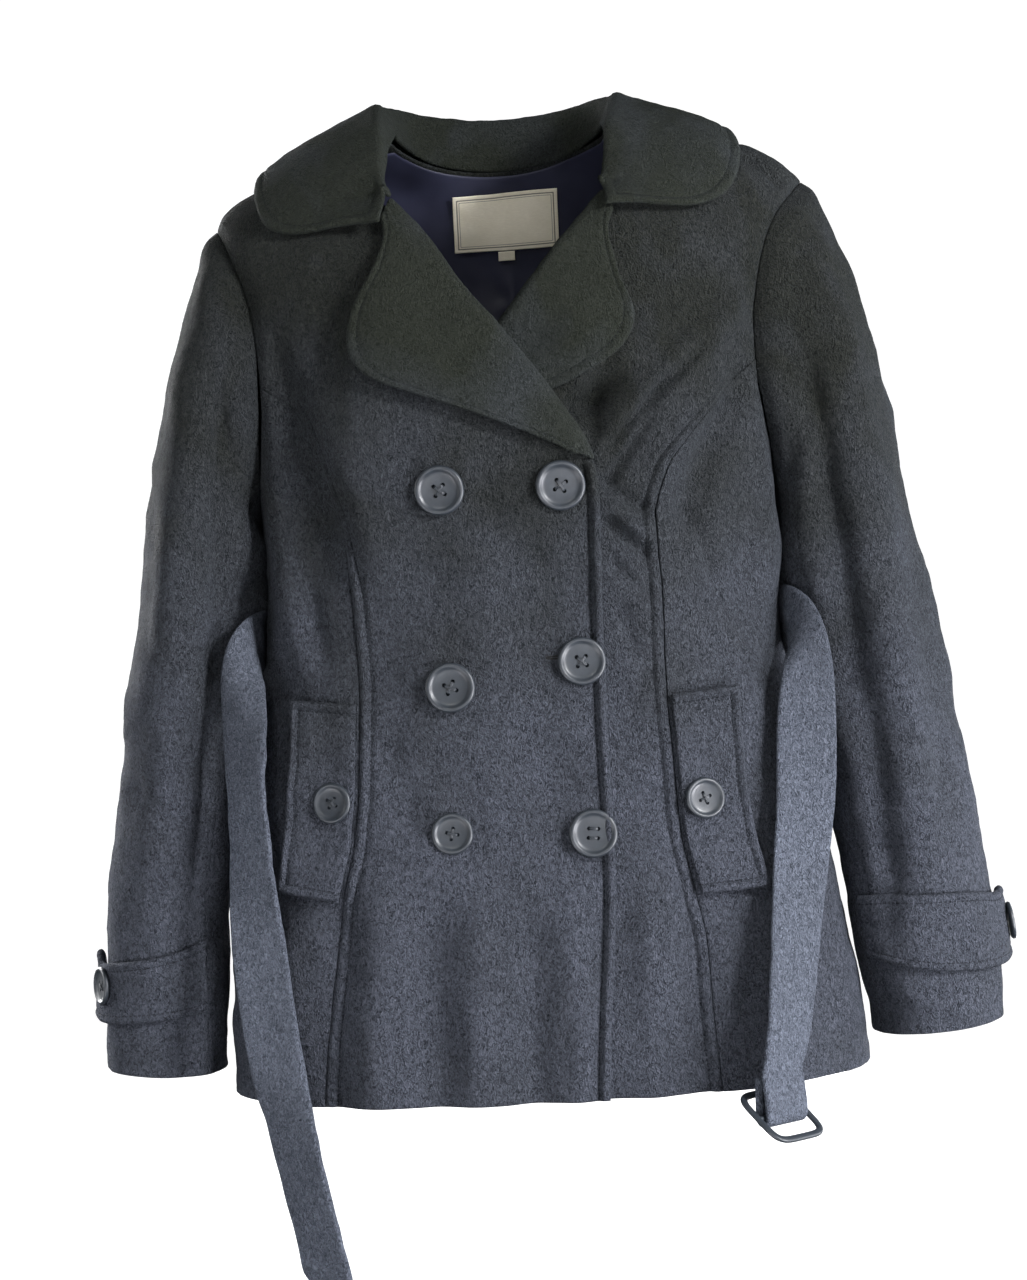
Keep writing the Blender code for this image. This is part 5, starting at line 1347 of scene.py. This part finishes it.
def sew_collar():
    """The collar from its right end to its left end, a section at each station."""
    stations = [(RIGHT, s) for s in COLLAR_STATIONS[:0:-1]] + [(LEFT, s) for s in COLLAR_STATIONS]
    control = np.stack([collar_profile(side, station) for side, station in stations])
    knots = chord_knots(control[:, -1:])
    places = fitted_steps(knots[-1], 2.6, STITCHED_EDGE, STITCHED_EDGE)[0]
    dense = flowing(knots, control)(places)
    middle = respaced(borders(dense)["left"], dense, 2.4, PLAIN_EDGE, STITCHED_EDGE)
    stitched = dict.fromkeys(("right", "low", "high"), TOPSTITCH)
    sew_middle("collar", middle, COLLAR_CLOTH, stitched, [0, 0, 1], nap=0.14)


sew_collar()

# %% [markdown]
# ## Pocket flaps and cuff straps
# The flaps hang from a short seam beside the princess seam and are topstitched on their free sides, so
# they stand a little off the coat at their outer edge. A strap crosses each cuff from the front seam,
# with one button near its free end.

# %% Pocket flaps
FLAP = {
    RIGHT: table(
        "seam_z free_x free_z",
        (-366, -159, -362), (-400, -161.5, -397), (-432, -165, -431), (-466, -169, -464),
        (-501, -174.5, -493),
    ),
    LEFT: table(
        "seam_z free_x free_z",
        (-370, 141, -366.5), (-402, 142.5, -400), (-436, 143.5, -434), (-470, 147, -469),
        (-507, 154.5, -504.5),
    ),
}
FLAP_STITCH, FLAP_INSET = 7.0, 1.6


def flap_places(side, seam_share, shares):
    """x and z on a pocket flap: seam_share runs across from the seam, shares down it."""
    rows = FLAP[side]
    knots = np.linspace(0, 1, len(rows["seam_z"]))
    seam_z, free_x, free_z = (smooth(knots, rows[n])(shares) for n in ("seam_z", "free_x", "free_z"))
    seam_x = side * (PRINCESS_X[side](seam_z) + FLAP_INSET)
    x = seam_x * (1 - seam_share) + free_x * seam_share
    return x, seam_z * (1 - seam_share) + free_z * seam_share


def flap_surface(side, seam_share, shares):
    """The top of the flap. It stands off by 5 mm * ease over its outer 60%, and by 1.5 mm * ease over
    its lowest 30%."""
    points, normals = draped(*torso(FRONT, *flap_places(side, seam_share, shares)))
    off = REST + FLAP_CLOTH + 5.0 * ease((seam_share - 0.4) / 0.6) + 1.5 * ease((shares - 0.7) / 0.3)
    return points + normals * np.asarray(off)[..., None], normals


def sew_flap(side):
    """A pocket flap, topstitched on its free sides."""
    height = abs(np.ptp(FLAP[side]["seam_z"]))
    edge = tuple(np.array(STITCHED_EDGE) * FLAP_STITCH / TOPSTITCH)
    shares = fitted_steps(height, 2.2, edge, edge)[0] / height
    across, down = np.meshgrid(FINE, shares)
    points, normals = regrid(*flap_surface(side, across, down), 2.2, PLAIN_EDGE, edge)
    stitched = dict.fromkeys(("low", "high", "right"), FLAP_STITCH)
    sew("pocket_flap_" + SIDES[side], points, normals, FLAP_CLOTH, [FLEECE], stitched, pad=1.7, furrow=0.7)


for side in SIDES:
    sew_flap(side)

# %% Cuff straps
STRAP = {
    RIGHT: table(
        "angle top bottom lift",
        (-14, -547, -570, 5.2), (-8, -538, -579, 4.6), (4, -535, -583, 3.4),
        (24, -542.5, -584.5, 1.6), (45, -541, -584, 0.9), (85, -537, -582, 0.9),
        (110, -533, -580.5, 0.9), (136, -528, -578, 0.9),
    ),
    LEFT: table(
        "angle top bottom lift",
        (-14, -533, -565, 5.2), (-8, -526, -571, 4.6), (4, -523.5, -574, 3.4),
        (24, -525, -575.5, 1.8), (50, -522, -576, 0.9), (85, -520, -575, 0.9),
        (116, -520, -571, 0.9), (150, -521.5, -564, 0.9),
    ),
}
STRAP_STITCH, STRAP_WIDTH = 6.0, 46.0


def on_sleeve(side, angles, heights):
    """Points and normals of a sleeve at given angles and heights, found on fine lines down the cuff."""
    lines, line_normals = sleeve(side, np.linspace(7, 12, 90), angles)
    points, normals = np.empty(heights.shape + (3,)), np.empty(heights.shape + (3,))
    for i, k in np.ndindex(len(angles), 3):
        falling = -lines[:, i, 2]
        points[:, i, k] = np.interp(-heights[:, i], falling, lines[:, i, k])
        normals[:, i, k] = np.interp(-heights[:, i], falling, line_normals[:, i, k])
    return points, unit(normals)


def strap_surface(side, angles, shares, lift):
    """Points on a cuff strap: share 0 is its top edge and 1 its bottom edge."""
    rows = STRAP[side]
    top, bottom, off = (column(rows, "angle", name)(angles) for name in ("top", "bottom", "lift"))
    heights = top * (1 - shares[:, None]) + bottom * shares[:, None]
    points, normals = draped_sleeve(*on_sleeve(side, angles, heights))
    return points + normals * (off[:, None] + lift)[None], normals


def sew_strap(side):
    """A cuff strap, topstitched around its free end."""
    ends = STRAP[side]["angle"][0], STRAP[side]["angle"][-1]
    edge = tuple(np.array(STITCHED_EDGE[:10]) * STRAP_STITCH / TOPSTITCH)
    shares = fitted_steps(STRAP_WIDTH, 2.0, edge, edge)[0] / STRAP_WIDTH
    dense, normals = strap_surface(side, np.linspace(*ends, 260), shares, STRAP_CLOTH)
    points, normals = regrid(dense, normals, 2.0, edge, PLAIN_EDGE)
    stitched = dict.fromkeys(("low", "high", "left"), STRAP_STITCH)
    sew("cuff_strap_" + SIDES[side], points, normals, STRAP_CLOTH, [FLEECE], stitched, pad=0.7, furrow=0.4)


for side in SIDES:
    sew_strap(side)

# %% [markdown]
# ## Belt, thread loops and buckle
# The belt is a double strip of fleece, topstitched on both edges. It passes through a thread loop on
# each side seam and around the back, and its two ends hang down in front. One end is folded around
# the middle bar of a plain buckle, and the other is cut with rounded corners. The strip is a width
# carried along a path: each place on the path has a middle and a direction for the width.

# %% Belt
BELT_WIDTH, BELT_CLOTH, BELT_STITCH, BELT_CORNER = 42.0, 4.0, 6.0, 11.0
BELT_SLACK, BELT_SIDE_SLACK = 2.2, 0.5  # off the back at its middle and at the sides
BELT_FOLD_LENGTH = 72.0  # the last stretch, around the bar, has a closer grid
TIP_PLACES = (0, 0.3, 0.9, 1.8, 3, 4.5, 6.5, 9)
BELT_CROSS_SEAMS = (64.0, 69.5)  # from the folded end: the rows that hold the fold around the bar
BELT_END = {
    RIGHT: table(
        "x y z wide_x wide_y wide_z",
        (-187.4, -9, -318, 0.1, 0, 0.99), (-188.4, -24, -319.5, 0.04, 0, 1),
        (-192, -38, -324.5, -0.22, -0.05, 0.97), (-194.5, -50, -335.5, -0.6, 0.1, 0.79),
        (-196.5, -58, -354, -0.78, 0.35, 0.5), (-197, -62, -385, -0.75, 0.6, 0.2),
        (-197, -65, -430, -0.69, 0.72, 0), (-195.5, -71, -483, -0.79, 0.61, 0),
        (-191.5, -80, -531, -0.93, 0.37, 0), (-182.5, -92, -607, -0.94, 0.34, 0),
        (-174.5, -97, -649, -0.83, 0.55, 0), (-164.5, -99, -698, -0.8, 0.6, 0),
        (-155.5, -100, -745, -0.82, 0.57, 0.08), (-153, -100, -757, -0.82, 0.56, -0.12),
    ),
    LEFT: table(
        "x y z wide_x wide_y wide_z",
        (187.4, -9, -318, -0.1, 0, 0.99), (188.6, -24, -319.5, -0.04, 0, 1),
        (192, -38, -324.5, 0.24, -0.05, 0.97), (194, -50, -335.5, 0.62, 0.05, 0.78),
        (194, -58, -354, 0.85, 0.1, 0.5), (192, -64, -385, 0.97, 0, 0.2),
        (188, -73, -436, 0.99, 0.12, 0), (180, -84, -488, 0.93, 0.32, 0),
        (173.5, -94, -535, 0.86, 0.5, 0), (166, -105, -585, 0.78, 0.62, 0),
        (160.5, -112, -612, 0.74, 0.67, -0.02),
    ),
}
BUCKLE_AXIS_POINT = np.array([154.4, -117.0, -652.0])
BUCKLE_AXIS = unit([0.71, 0.70, -0.06])
BUCKLE_SPAN = unit([0.54, -0.60, -0.58])  # from the middle bar to the near bar, as it hangs
BUCKLE_FACE = unit(np.cross(BUCKLE_AXIS, [0.0, 0.0, 1.0]))
BELT_FOLD = table(
    "out up",
    (1.0, 28), (3.0, 15), (4.4, 5), (4.4, 0), (3.2, -3.1), (0, -4.5), (-3.2, -3.1), (-4.4, 0),
    (-4.6, 8), (-4.7, 17), (-4.6, 26),
)


def belt_path():
    """Middles and width directions from the hanging tip around the back to the buckle's bar."""
    paths = []
    for rows in BELT_END.values():
        middle = np.stack([rows[n] for n in "xyz"], axis=-1)
        wide = np.stack([rows["wide_" + n] for n in "xyz"], axis=-1)
        knots = chord_knots(middle[:, None])
        places = np.arange(0, knots[-1], 4.0)
        paths.append((smooth(knots, middle)(places), smooth(knots, wide)(places)))
    angles = np.radians(np.linspace(-89, 89, 150))
    edges = []
    for height in (BELT_LEVEL + BELT_WIDTH / 2, BELT_LEVEL - BELT_WIDTH / 2):
        x = half_width(angles, height) * np.sin(angles)
        points, normals = torso(BACK, x, np.full(x.shape, height))
        slack = BELT_SIDE_SLACK + (BELT_SLACK - BELT_SIDE_SLACK) * np.cos(angles)
        edges.append(points + normals * (slack + BELT_CLOTH / 2)[:, None])
    upward = unit(np.cross(BUCKLE_FACE, BUCKLE_AXIS))
    out, up = (BELT_FOLD[n][:, None] for n in ("out", "up"))
    fold = BUCKLE_AXIS_POINT + out * BUCKLE_FACE + up * upward
    along_bar = np.tile(BUCKLE_AXIS, (len(fold), 1))
    middle = [paths[0][0][::-1], (edges[0] + edges[1]) / 2, paths[1][0], fold]
    wide = [paths[0][1][::-1], unit(edges[0] - edges[1]), paths[1][1], along_bar]
    return np.concatenate(middle), unit(np.concatenate(wide))


def softened(values, places, reach, keep):
    """Values along the path, averaged with weights exp(-(distance / reach)^2) except where keep is 1."""
    weight = np.exp(-(((places[:, None] - places[None]) / reach) ** 2))
    mean = weight @ values / weight.sum(axis=1, keepdims=True)
    return mean * (1 - keep[:, None]) + values * keep[:, None]


def sew_belt():
    """The belt: its corners are cut round at the tip, it is slightly cupped across and waved along,
    0.9 * sin(place / 47) + 0.6 * sin(place / 21 + 1.3), and two rows of stitches hold its fold."""
    middle, wide = belt_path()
    knots = chord_knots(middle[:, None])
    fold_start = knots[-1] - BELT_FOLD_LENGTH
    straight = np.linspace(TIP_PLACES[-1], fold_start, int((fold_start - TIP_PLACES[-1]) / 3.4))[1:]
    places = np.concatenate([TIP_PLACES, straight, np.linspace(fold_start, knots[-1], 70)[1:]])
    middle, wide = smooth(knots, middle)(places), smooth(knots, wide)(places)
    keep = ease((places - fold_start + 20) / 30) + ease((14 - places) / 14)
    middle, wide = softened(middle, places, 11, keep), unit(softened(wide, places, 16, keep))
    half = BELT_WIDTH / 2
    corner = np.clip(1 - places / BELT_CORNER, 0, 1)
    reach = half - BELT_CORNER * (1 - np.sqrt(1 - corner**2))
    edge = tuple(np.array(STITCHED_EDGE) * BELT_STITCH / TOPSTITCH)
    across = fitted_steps(BELT_WIDTH, 2.4, edge, edge)[0] / half - 1
    offsets = across * reach[:, None]
    curl = 0.9 * np.sin(places / 47) + 0.6 * np.sin(places / 21 + 1.3)
    grid = middle[:, None] + offsets[..., None] * wide[:, None]
    normals = grid_normals(grid, [0, 0, 0])
    back = np.argmax(middle[:, 1])
    normals = normals if normals[back, len(across) // 2, 1] > 0 else -normals
    calm = 1 - ease((places - fold_start) / 10)
    cupped = (curl * calm)[:, None] * (across**2 - 0.4) + 0.35 * ripples(grid, 24, 21) * calm[:, None]
    from_bar = knots[-1] - places
    seams = sum(0.9 * np.exp(-(((from_bar - run) / 0.9) ** 2)) for run in BELT_CROSS_SEAMS)
    cupped = cupped - seams[:, None]
    grid = grid + normals * (cupped + BELT_CLOTH / 2)[..., None]
    stitched = dict.fromkeys(("left", "right", "low"), BELT_STITCH)
    sew("belt", grid, normals, BELT_CLOTH, [BELTING], stitched, pad=0.7, furrow=0.45, nap=0.1)


sew_belt()

# %% Tubes


def tube(path, radius, sides=12):
    """A round tube along a path, as points and quads: path + radius * (side cos t + up sin t). The ends
    shrink to a point in a quarter circle."""
    path = np.asarray(path, float)
    along = unit(np.gradient(path, axis=0))
    side = unit(np.cross(along, [0.05, 1.0, 0.02]))
    up = np.cross(along, side)
    run = chord_knots(path[:, None])
    end = np.minimum(run, run[-1] - run)
    swell = np.sqrt(np.clip(1 - np.clip(1 - end / radius, 0, 1) ** 2, 1e-6, 1)) * radius
    turn = np.linspace(0, 2 * np.pi, sides, endpoint=False)[:, None]
    ring = side[:, None] * np.cos(turn) + up[:, None] * np.sin(turn)
    points = path[:, None] + swell[:, None, None] * ring
    return points.reshape(-1, 3), grid_quads(len(path), sides, closed=True)


def joined(parts):
    """Points and quads of several parts as one: each part's numbers start after the last part's."""
    starts = np.cumsum([0] + [len(points) for points, _ in parts])
    quads = [part_quads + start for (_, part_quads), start in zip(parts, starts)]
    return np.concatenate([points for points, _ in parts]), np.concatenate(quads)


def tube_mesh(name, tubes):
    """A mesh of several tubes."""
    return cleaned(quad_mesh(name, *joined(tubes)), 2e-6)


# %% Belt loops
BELT_LOOP = table("height out", (31, 1.6), (28, 5.2), (21, 8), (0, 9), (-21, 8), (-28, 5.2), (-31, 1.6))
TWIST_RADIUS, STRAND_RADIUS = 0.42, 0.48


def sew_belt_loop(side):
    """Two strands twisted around the loop's path: path + radius * (out cos + back sin) of run / 0.75."""
    z = BELT_LEVEL + BELT_LOOP["height"]
    x = side * (half_width(side, z) + BELT_LOOP["out"])
    control = np.stack([x, np.full(z.shape, RIDGE_Y), z], axis=-1)
    knots = chord_knots(control[:, None])
    path = flowing(knots, control)(np.linspace(0, knots[-1], 220))
    run = chord_knots(path[:, None])
    along = unit(np.gradient(path, axis=0))
    backward = np.array([0.0, 1.0, 0.0])
    out = np.cross(along, backward)
    tubes = []
    for start in (0, np.pi):
        turn = (run / 0.75 + start)[:, None]
        strand = path + TWIST_RADIUS * (out * np.cos(turn) + backward * np.sin(turn))
        tubes.append(tube(strand, STRAND_RADIUS, 8))
    node = "belt_loop_" + SIDES[side]
    add_piece("coat_" + node, tube_mesh(node, tubes), [LOOP_THREAD], node=node)


for side in SIDES:
    sew_belt_loop(side)

# %% Buckle
BUCKLE_HALF_LENGTH, BUCKLE_HALF_SPAN = 27.0, 23.5
BUCKLE_BAR_WIDTH, BUCKLE_BAR_DEPTH, BUCKLE_PIN = 5.0, 3.2, 1.9


def buckle_frame(sides=96, around=28):
    """A rounded rectangle |x / a|^5 + |y / b|^5 = 1 with a rounded bar carried around it."""
    turn = np.linspace(0, 2 * np.pi, sides, endpoint=False)
    a, b = BUCKLE_HALF_LENGTH - BUCKLE_BAR_WIDTH / 2, BUCKLE_HALF_SPAN - BUCKLE_BAR_WIDTH / 2
    round_off = np.abs(np.cos(turn)) ** 5 + np.abs(np.sin(turn)) ** 5
    loop = np.stack([a * np.cos(turn), b * np.sin(turn)], axis=-1) / round_off[:, None] ** 0.2
    step = np.roll(loop, -1, axis=0) - np.roll(loop, 1, axis=0)
    out = unit(np.stack([step[:, 1], -step[:, 0], 0 * turn], axis=-1))
    loop = np.concatenate([loop, 0 * turn[:, None]], axis=1)
    t = np.linspace(0, 2 * np.pi, around, endpoint=False)
    wide = np.sign(np.cos(t)) * np.abs(np.cos(t)) ** 0.7 * BUCKLE_BAR_WIDTH / 2
    deep = np.sign(np.sin(t)) * np.abs(np.sin(t)) ** 0.8 * BUCKLE_BAR_DEPTH / 2
    points = loop[:, None] + out[:, None] * wide[:, None] + np.array([0, 0, 1.0]) * deep[:, None]
    return points.reshape(-1, 3), ring_quads(sides, around)


def make_buckle():
    """The ring and its middle bar, turned to lie as they hang."""
    reach = BUCKLE_HALF_LENGTH - BUCKLE_BAR_WIDTH / 2
    line = np.linspace(-reach, reach, 60)
    bar = tube(np.stack([line, 0 * line, 0 * line], axis=-1), BUCKLE_PIN, 24)
    to_world = np.stack([BUCKLE_AXIS, BUCKLE_SPAN, np.cross(BUCKLE_AXIS, BUCKLE_SPAN)])
    parts = [(p @ to_world + BUCKLE_AXIS_POINT, q) for p, q in (buckle_frame(), bar)]
    add_piece("coat_buckle", tube_mesh("buckle", parts), [RESIN], body="buckle", node="buckle")


make_buckle()

# %% [markdown]
# ## Buttons
# Resin buttons are turned on a lathe: a raised rim, a dished face and four holes. We turn one profile,
# drill it once with a boolean and reuse it at every size. Each button is sewn on with a cross of dark
# thread, and each is turned by a different angle, as a hand leaves them.

# %% Button blank
BUTTON_GAP = 0.3
BUTTON_SIDES = 72
BUTTON_HOLE, BUTTON_HOLE_OFFSET = 0.085, 0.27
BUTTON_PROFILE = table(
    "radius height",
    (0.0001, 0), (0.55, 0), (0.86, 0), (0.93, 0.025), (0.985, 0.08), (1, 0.135), (0.99, 0.19),
    (0.955, 0.235), (0.91, 0.258), (0.87, 0.262), (0.83, 0.25), (0.79, 0.222), (0.745, 0.187),
    (0.69, 0.163), (0.6, 0.148), (0.5, 0.138), (0.4, 0.131), (0.32, 0.13), (0.0001, 0.13),
)


def lathe_mesh(name, profile, sides):
    """A profile of (radius, height) pairs turned around Z, with its poles merged."""
    turn = np.linspace(0, 2 * np.pi, sides, endpoint=False)
    radius, height = np.asarray(profile, float).T
    radius, height = radius[:, None], height[:, None]
    points = np.stack([radius * np.cos(turn), radius * np.sin(turn), height + 0 * turn], axis=-1)
    quads = grid_quads(len(radius), sides, closed=True)
    return cleaned(quad_mesh(name, points.reshape(-1, 3) / MM, quads), 1e-3)


def drilled_blank():
    """A button of radius 1 with four holes, made with one boolean."""
    profile = np.stack(list(BUTTON_PROFILE.values()), axis=-1)
    disc = bpy.data.objects.new("disc", lathe_mesh("disc", profile, BUTTON_SIDES))
    work = bmesh.new()
    for turn in (45, 135, 225, 315):
        angle = math.radians(turn)
        place = (math.cos(angle) * BUTTON_HOLE_OFFSET, math.sin(angle) * BUTTON_HOLE_OFFSET, 0.1)
        bmesh.ops.create_cone(
            work, cap_ends=True, segments=20, radius1=BUTTON_HOLE, radius2=BUTTON_HOLE, depth=1,
            matrix=Matrix.Translation(place),
        )
    drill = bpy.data.meshes.new("drill")
    work.to_mesh(drill)
    work.free()
    cutter = bpy.data.objects.new("cutter", drill)
    for made in (disc, cutter):
        bpy.context.scene.collection.objects.link(made)
    cut = disc.modifiers.new("holes", "BOOLEAN")
    cut.operation, cut.object = "DIFFERENCE", cutter
    bpy.context.view_layer.update()
    depsgraph = bpy.context.evaluated_depsgraph_get()
    made = bpy.data.meshes.new_from_object(disc.evaluated_get(depsgraph))
    for used in (disc, cutter):
        bpy.data.objects.remove(used)
    made.shade_smooth()
    made.set_sharp_from_angle(angle=math.radians(40))
    return made


BLANK = drilled_blank()
print("button blank:", len(BLANK.polygons), "faces")

# %% Sew the buttons on
BUTTONS_IN_FRONT = table(
    "x z radius turn seat",
    (-52, -224, 17, 8, -0.3), (29.5, -225, 17, -12, 0), (-51.5, -358, 17, 20, 0.3),
    (38, -344.5, 16.5, 4, 0.7), (-55.5, -456.5, 14.2, 33, 0.1), (39.5, -461, 16.5, -6, 0.1),
)
FRONT_NODES = ("top_right", "top_left", "waist_right", "waist_left", "low_right", "low_left")


THREAD_RADIUS, THREAD_STEP = 0.0155, 0.024  # in button radiuses


def sewing_cross(parallel=False):
    """Threads over a button of radius 1: four side by side for each pair of holes, as an arch
    0.125 + 0.052 * (1 - s^2) that dips into the holes at its ends."""
    reach = BUTTON_HOLE_OFFSET
    corners = np.array([[1, 1], [-1, -1], [1, -1], [-1, 1]]) * reach / math.sqrt(2)
    pairs = ((0, 3), (2, 1)) if parallel else ((0, 1), (2, 3))
    s = np.linspace(-1, 1, 26)
    rise = 0.125 + 0.052 * (1 - s**2) - 0.09 * ease((np.abs(s) - 0.86) / 0.14)
    tubes = []
    for number, (first, second) in enumerate(pairs):
        line = corners[first] * ((1 - s) / 2)[:, None] + corners[second] * ((1 + s) / 2)[:, None]
        across = unit(corners[second] - corners[first]) @ np.array([[0, 1], [-1, 0]])
        for lane in (-1.5, -0.5, 0.5, 1.5):
            shift = across * THREAD_STEP * lane
            lift = rise + 0.03 * number * (not parallel) + 0.004 * (1.5 - abs(lane))
            strand = np.concatenate([line + shift, lift[:, None]], axis=1)
            tubes.append(tube(strand, THREAD_RADIUS, 8))
    return tubes


def sew_button(node, point, normal, radius, turn, parallel=False):
    """Places the blank and its thread: the axes are side, up and normal, turned in the button's plane."""
    side = unit(np.cross([0, 0, 1], normal))
    up = np.cross(normal, side)
    a = math.radians(turn)
    cos, sin = math.cos(a), math.sin(a)
    axes = np.stack([side * cos + up * sin, up * cos - side * sin, normal])
    seat = point + normal * BUTTON_GAP
    mesh = BLANK.copy()
    whole = np.eye(4)
    whole[:3, :3], whole[:3, 3] = axes.T * radius * MM, seat * MM
    mesh.transform(Matrix(whole.tolist()))
    cross = [(p * radius @ axes + seat, q) for p, q in sewing_cross(parallel)]
    threads = tube_mesh(node + "_thread", cross)
    work = bmesh.new()
    work.from_mesh(mesh)
    work.from_mesh(threads)
    work.faces.ensure_lookup_table()
    for face in work.faces[len(mesh.polygons) :]:
        face.material_index = 1
    made = bpy.data.meshes.new(node)
    work.to_mesh(made)
    work.free()
    add_piece("coat_" + node, made, [RESIN, SEWING_THREAD], node=node)


for node, x, z, radius, turn, seat in zip(FRONT_NODES, *BUTTONS_IN_FRONT.values()):
    point, firm = folded_front(RIGHT)(x, z)[0], torso(FRONT, x, z)[1]
    sew_button("button_" + node, point + firm * seat, firm, radius, turn, node == "low_left")

for side, across, down, turn in ((RIGHT, 0.31, 0.51, 14), (LEFT, 0.34, 0.55, -24)):
    point = flap_surface(side, across, down)[0]
    firm = torso(FRONT, *flap_places(side, across, down))[1]
    sew_button("button_pocket_" + SIDES[side], point, firm, 14.0, turn)

for side, angle, height, turn in ((RIGHT, 31.0, -558.0, 10), (LEFT, 6.0, -549.0, -18)):
    top, bottom = (float(column(STRAP[side], "angle", n)(angle)) for n in ("top", "bottom"))
    share = np.array([(height - top) / (bottom - top)])
    points, normals = strap_surface(side, np.array([angle]), share, STRAP_CLOTH)
    sew_button("button_cuff_" + SIDES[side], points[0, 0], normals[0, 0], 13.5, turn)

# %% [markdown]
# ## Buttonholes
# On the overlapping front the buttons that close it sit in worked buttonholes. A sliver of each shows
# beside its button: a narrow slit with a raised edge of close stitches.

# %% Worked buttonholes


def sew_buttonhole(name, x, z, length):
    """A flattened ring of thread around a slit: x + length / 2 * cos t, z + 0.9 * sin t on the front."""
    turn = np.linspace(0, 2 * np.pi, 160, endpoint=False)
    across = np.sign(np.cos(turn)) * np.abs(np.cos(turn)) ** 0.55 * length / 2
    up = np.sign(np.sin(turn)) * np.abs(np.sin(turn)) ** 0.8 * 0.9
    path, normals = folded_front(RIGHT)(x + across, z + up)
    out = unit(np.cross(normals, np.roll(path, -1, 0) - np.roll(path, 1, 0)))
    ribs = 0.62 + 0.12 * np.cos(turn * 58)
    t = np.linspace(0, 2 * np.pi, 10, endpoint=False)[:, None]
    ring = out[:, None] * np.cos(t) * 1.1 + normals[:, None] * (np.sin(t) * 0.62 + 0.35)
    points = path[:, None] + ring * ribs[:, None, None]
    mesh = tube_mesh(name, [(points.reshape(-1, 3), ring_quads(*points.shape[:2]))])
    add_piece(name, mesh, [BUTTONHOLE_TWIST])


sew_buttonhole("buttonhole_waist", 28.5, -341.0, 28.0)
sew_buttonhole("buttonhole_low", 38.0, -460.5, 28.0)

# %% [markdown]
# ## Camera, light and background
# The coat is seen from straight ahead, level with its waist, through a moderately long lens. A pale
# bowl stands around it as a plain background; it is hidden from the cloth, which it would make flat.
# Soft square lamps do the lighting: a strong one high on the left gives the shadows under the lapels,
# a weak one high on the right reaches the label, and low ones rake across the folds. Two behind and two
# beside it serve the other views.

# %% Camera
scene = bpy.context.scene
lens = bpy.data.cameras.new("camera")
lens.sensor_fit = "VERTICAL"
lens.sensor_height = 36
lens.lens = 58.5
lens.clip_end = 50
camera = bpy.data.objects.new("camera", lens)
camera.matrix_world = (
    Matrix.Translation((-0.0074, -1.5, -0.3276))
    @ Matrix.Rotation(math.radians(90), 4, "X")
    @ Matrix.Rotation(math.radians(-3), 4, "Z")
)
scene.collection.objects.link(camera)
scene.camera = camera

# %% Pale bowl


def pale_bowl(radius=5.0, floor=-1.15, bend=1.6, wall=7.5, steps=40, sides=96):
    """A floor, a bent corner and a wall turned around Z, in metres. The corner is
    radius + bend * (sin a - 1) out and bend * (1 - cos a) up."""
    angle = np.linspace(0, np.pi / 2, steps)
    run = np.concatenate([[0.00001, 1.6], radius + bend * (np.sin(angle) - 1), [radius]])[:, None]
    rise = np.concatenate([[0, 0], bend * (1 - np.cos(angle)), [wall]])[:, None] + floor
    turn = np.linspace(0, 2 * np.pi, sides, endpoint=False)
    points = np.stack([run * np.cos(turn), run * np.sin(turn), rise + 0 * turn], axis=-1) / MM
    return quad_mesh("pale_bowl", points.reshape(-1, 3), grid_quads(len(run), sides, closed=True))


backdrop, tree, shader = principled(
    "matt_white_paint", Roughness=0.9, Specular_IOR_Level=0.0, Base_Color=(0.3, 0.3, 0.3, 1),
    Emission_Color=(1, 1, 1, 1), Emission_Strength=0.95,
)
bowl = bpy.data.objects.new("pale_bowl", pale_bowl())
bowl.data.materials.append(backdrop)
bowl.visible_diffuse = False
bowl.visible_glossy = False
scene.collection.objects.link(bowl)

# %% Lamps


def soft_lamp(name, place, target, size, power, colour):
    """A square area lamp that faces its target."""
    lamp = bpy.data.lights.new(name, "AREA")
    lamp.size, lamp.energy, lamp.color = size, power, colour
    made = bpy.data.objects.new(name, lamp)
    away = unit(np.array(place) - np.array(target))
    side = unit(np.cross([0, 0, 1], away))
    turn_to = Matrix(np.stack([side, np.cross(away, side), away], axis=-1).tolist()).to_4x4()
    made.matrix_world = Matrix.Translation(place) @ turn_to
    scene.collection.objects.link(made)


soft_lamp("low_window", (0.0, -2.3, -1.0), (0, 0, -0.4), 1.2, 21, (0.97, 0.97, 1.0))
soft_lamp("high_left", (1.7, -1.45, 0.55), (0, 0, -0.3), 0.45, 78, (0.98, 0.98, 1.0))
soft_lamp("high_right", (-0.5, -2.0, 0.95), (0, 0, 0.0), 0.4, 12, (1.0, 1.0, 0.97))
soft_lamp("low_left", (1.6, -1.0, -0.95), (0.05, -0.1, -0.45), 0.9, 78, (0.95, 0.95, 1.0))
soft_lamp("low_right", (-1.2, -1.1, -1.15), (-0.1, 0, -0.55), 0.9, 17, (0.95, 0.95, 1.0))
soft_lamp("behind_right", (-1.6, 1.8, 0.3), (0, 0, -0.2), 1.2, 150, (0.98, 0.98, 1.0))
soft_lamp("behind_left", (1.1, 2.1, -0.7), (0, 0, -0.4), 1.3, 70, (0.97, 0.97, 1.0))
soft_lamp("beside_right", (-2.3, 0.4, 0.1), (0, 0, -0.3), 1.2, 34, (0.97, 0.98, 1.0))
soft_lamp("beside_left", (2.3, 0.4, -0.5), (0, 0, -0.3), 1.2, 30, (0.97, 0.98, 1.0))
world = bpy.data.worlds.new("white")
world.use_nodes = True
world.node_tree.nodes["Background"].inputs["Color"].default_value = (0.97, 1, 0.94, 1)
world.node_tree.nodes["Background"].inputs["Strength"].default_value = 0.05
scene.world = world
scene.view_settings.view_transform = "Standard"
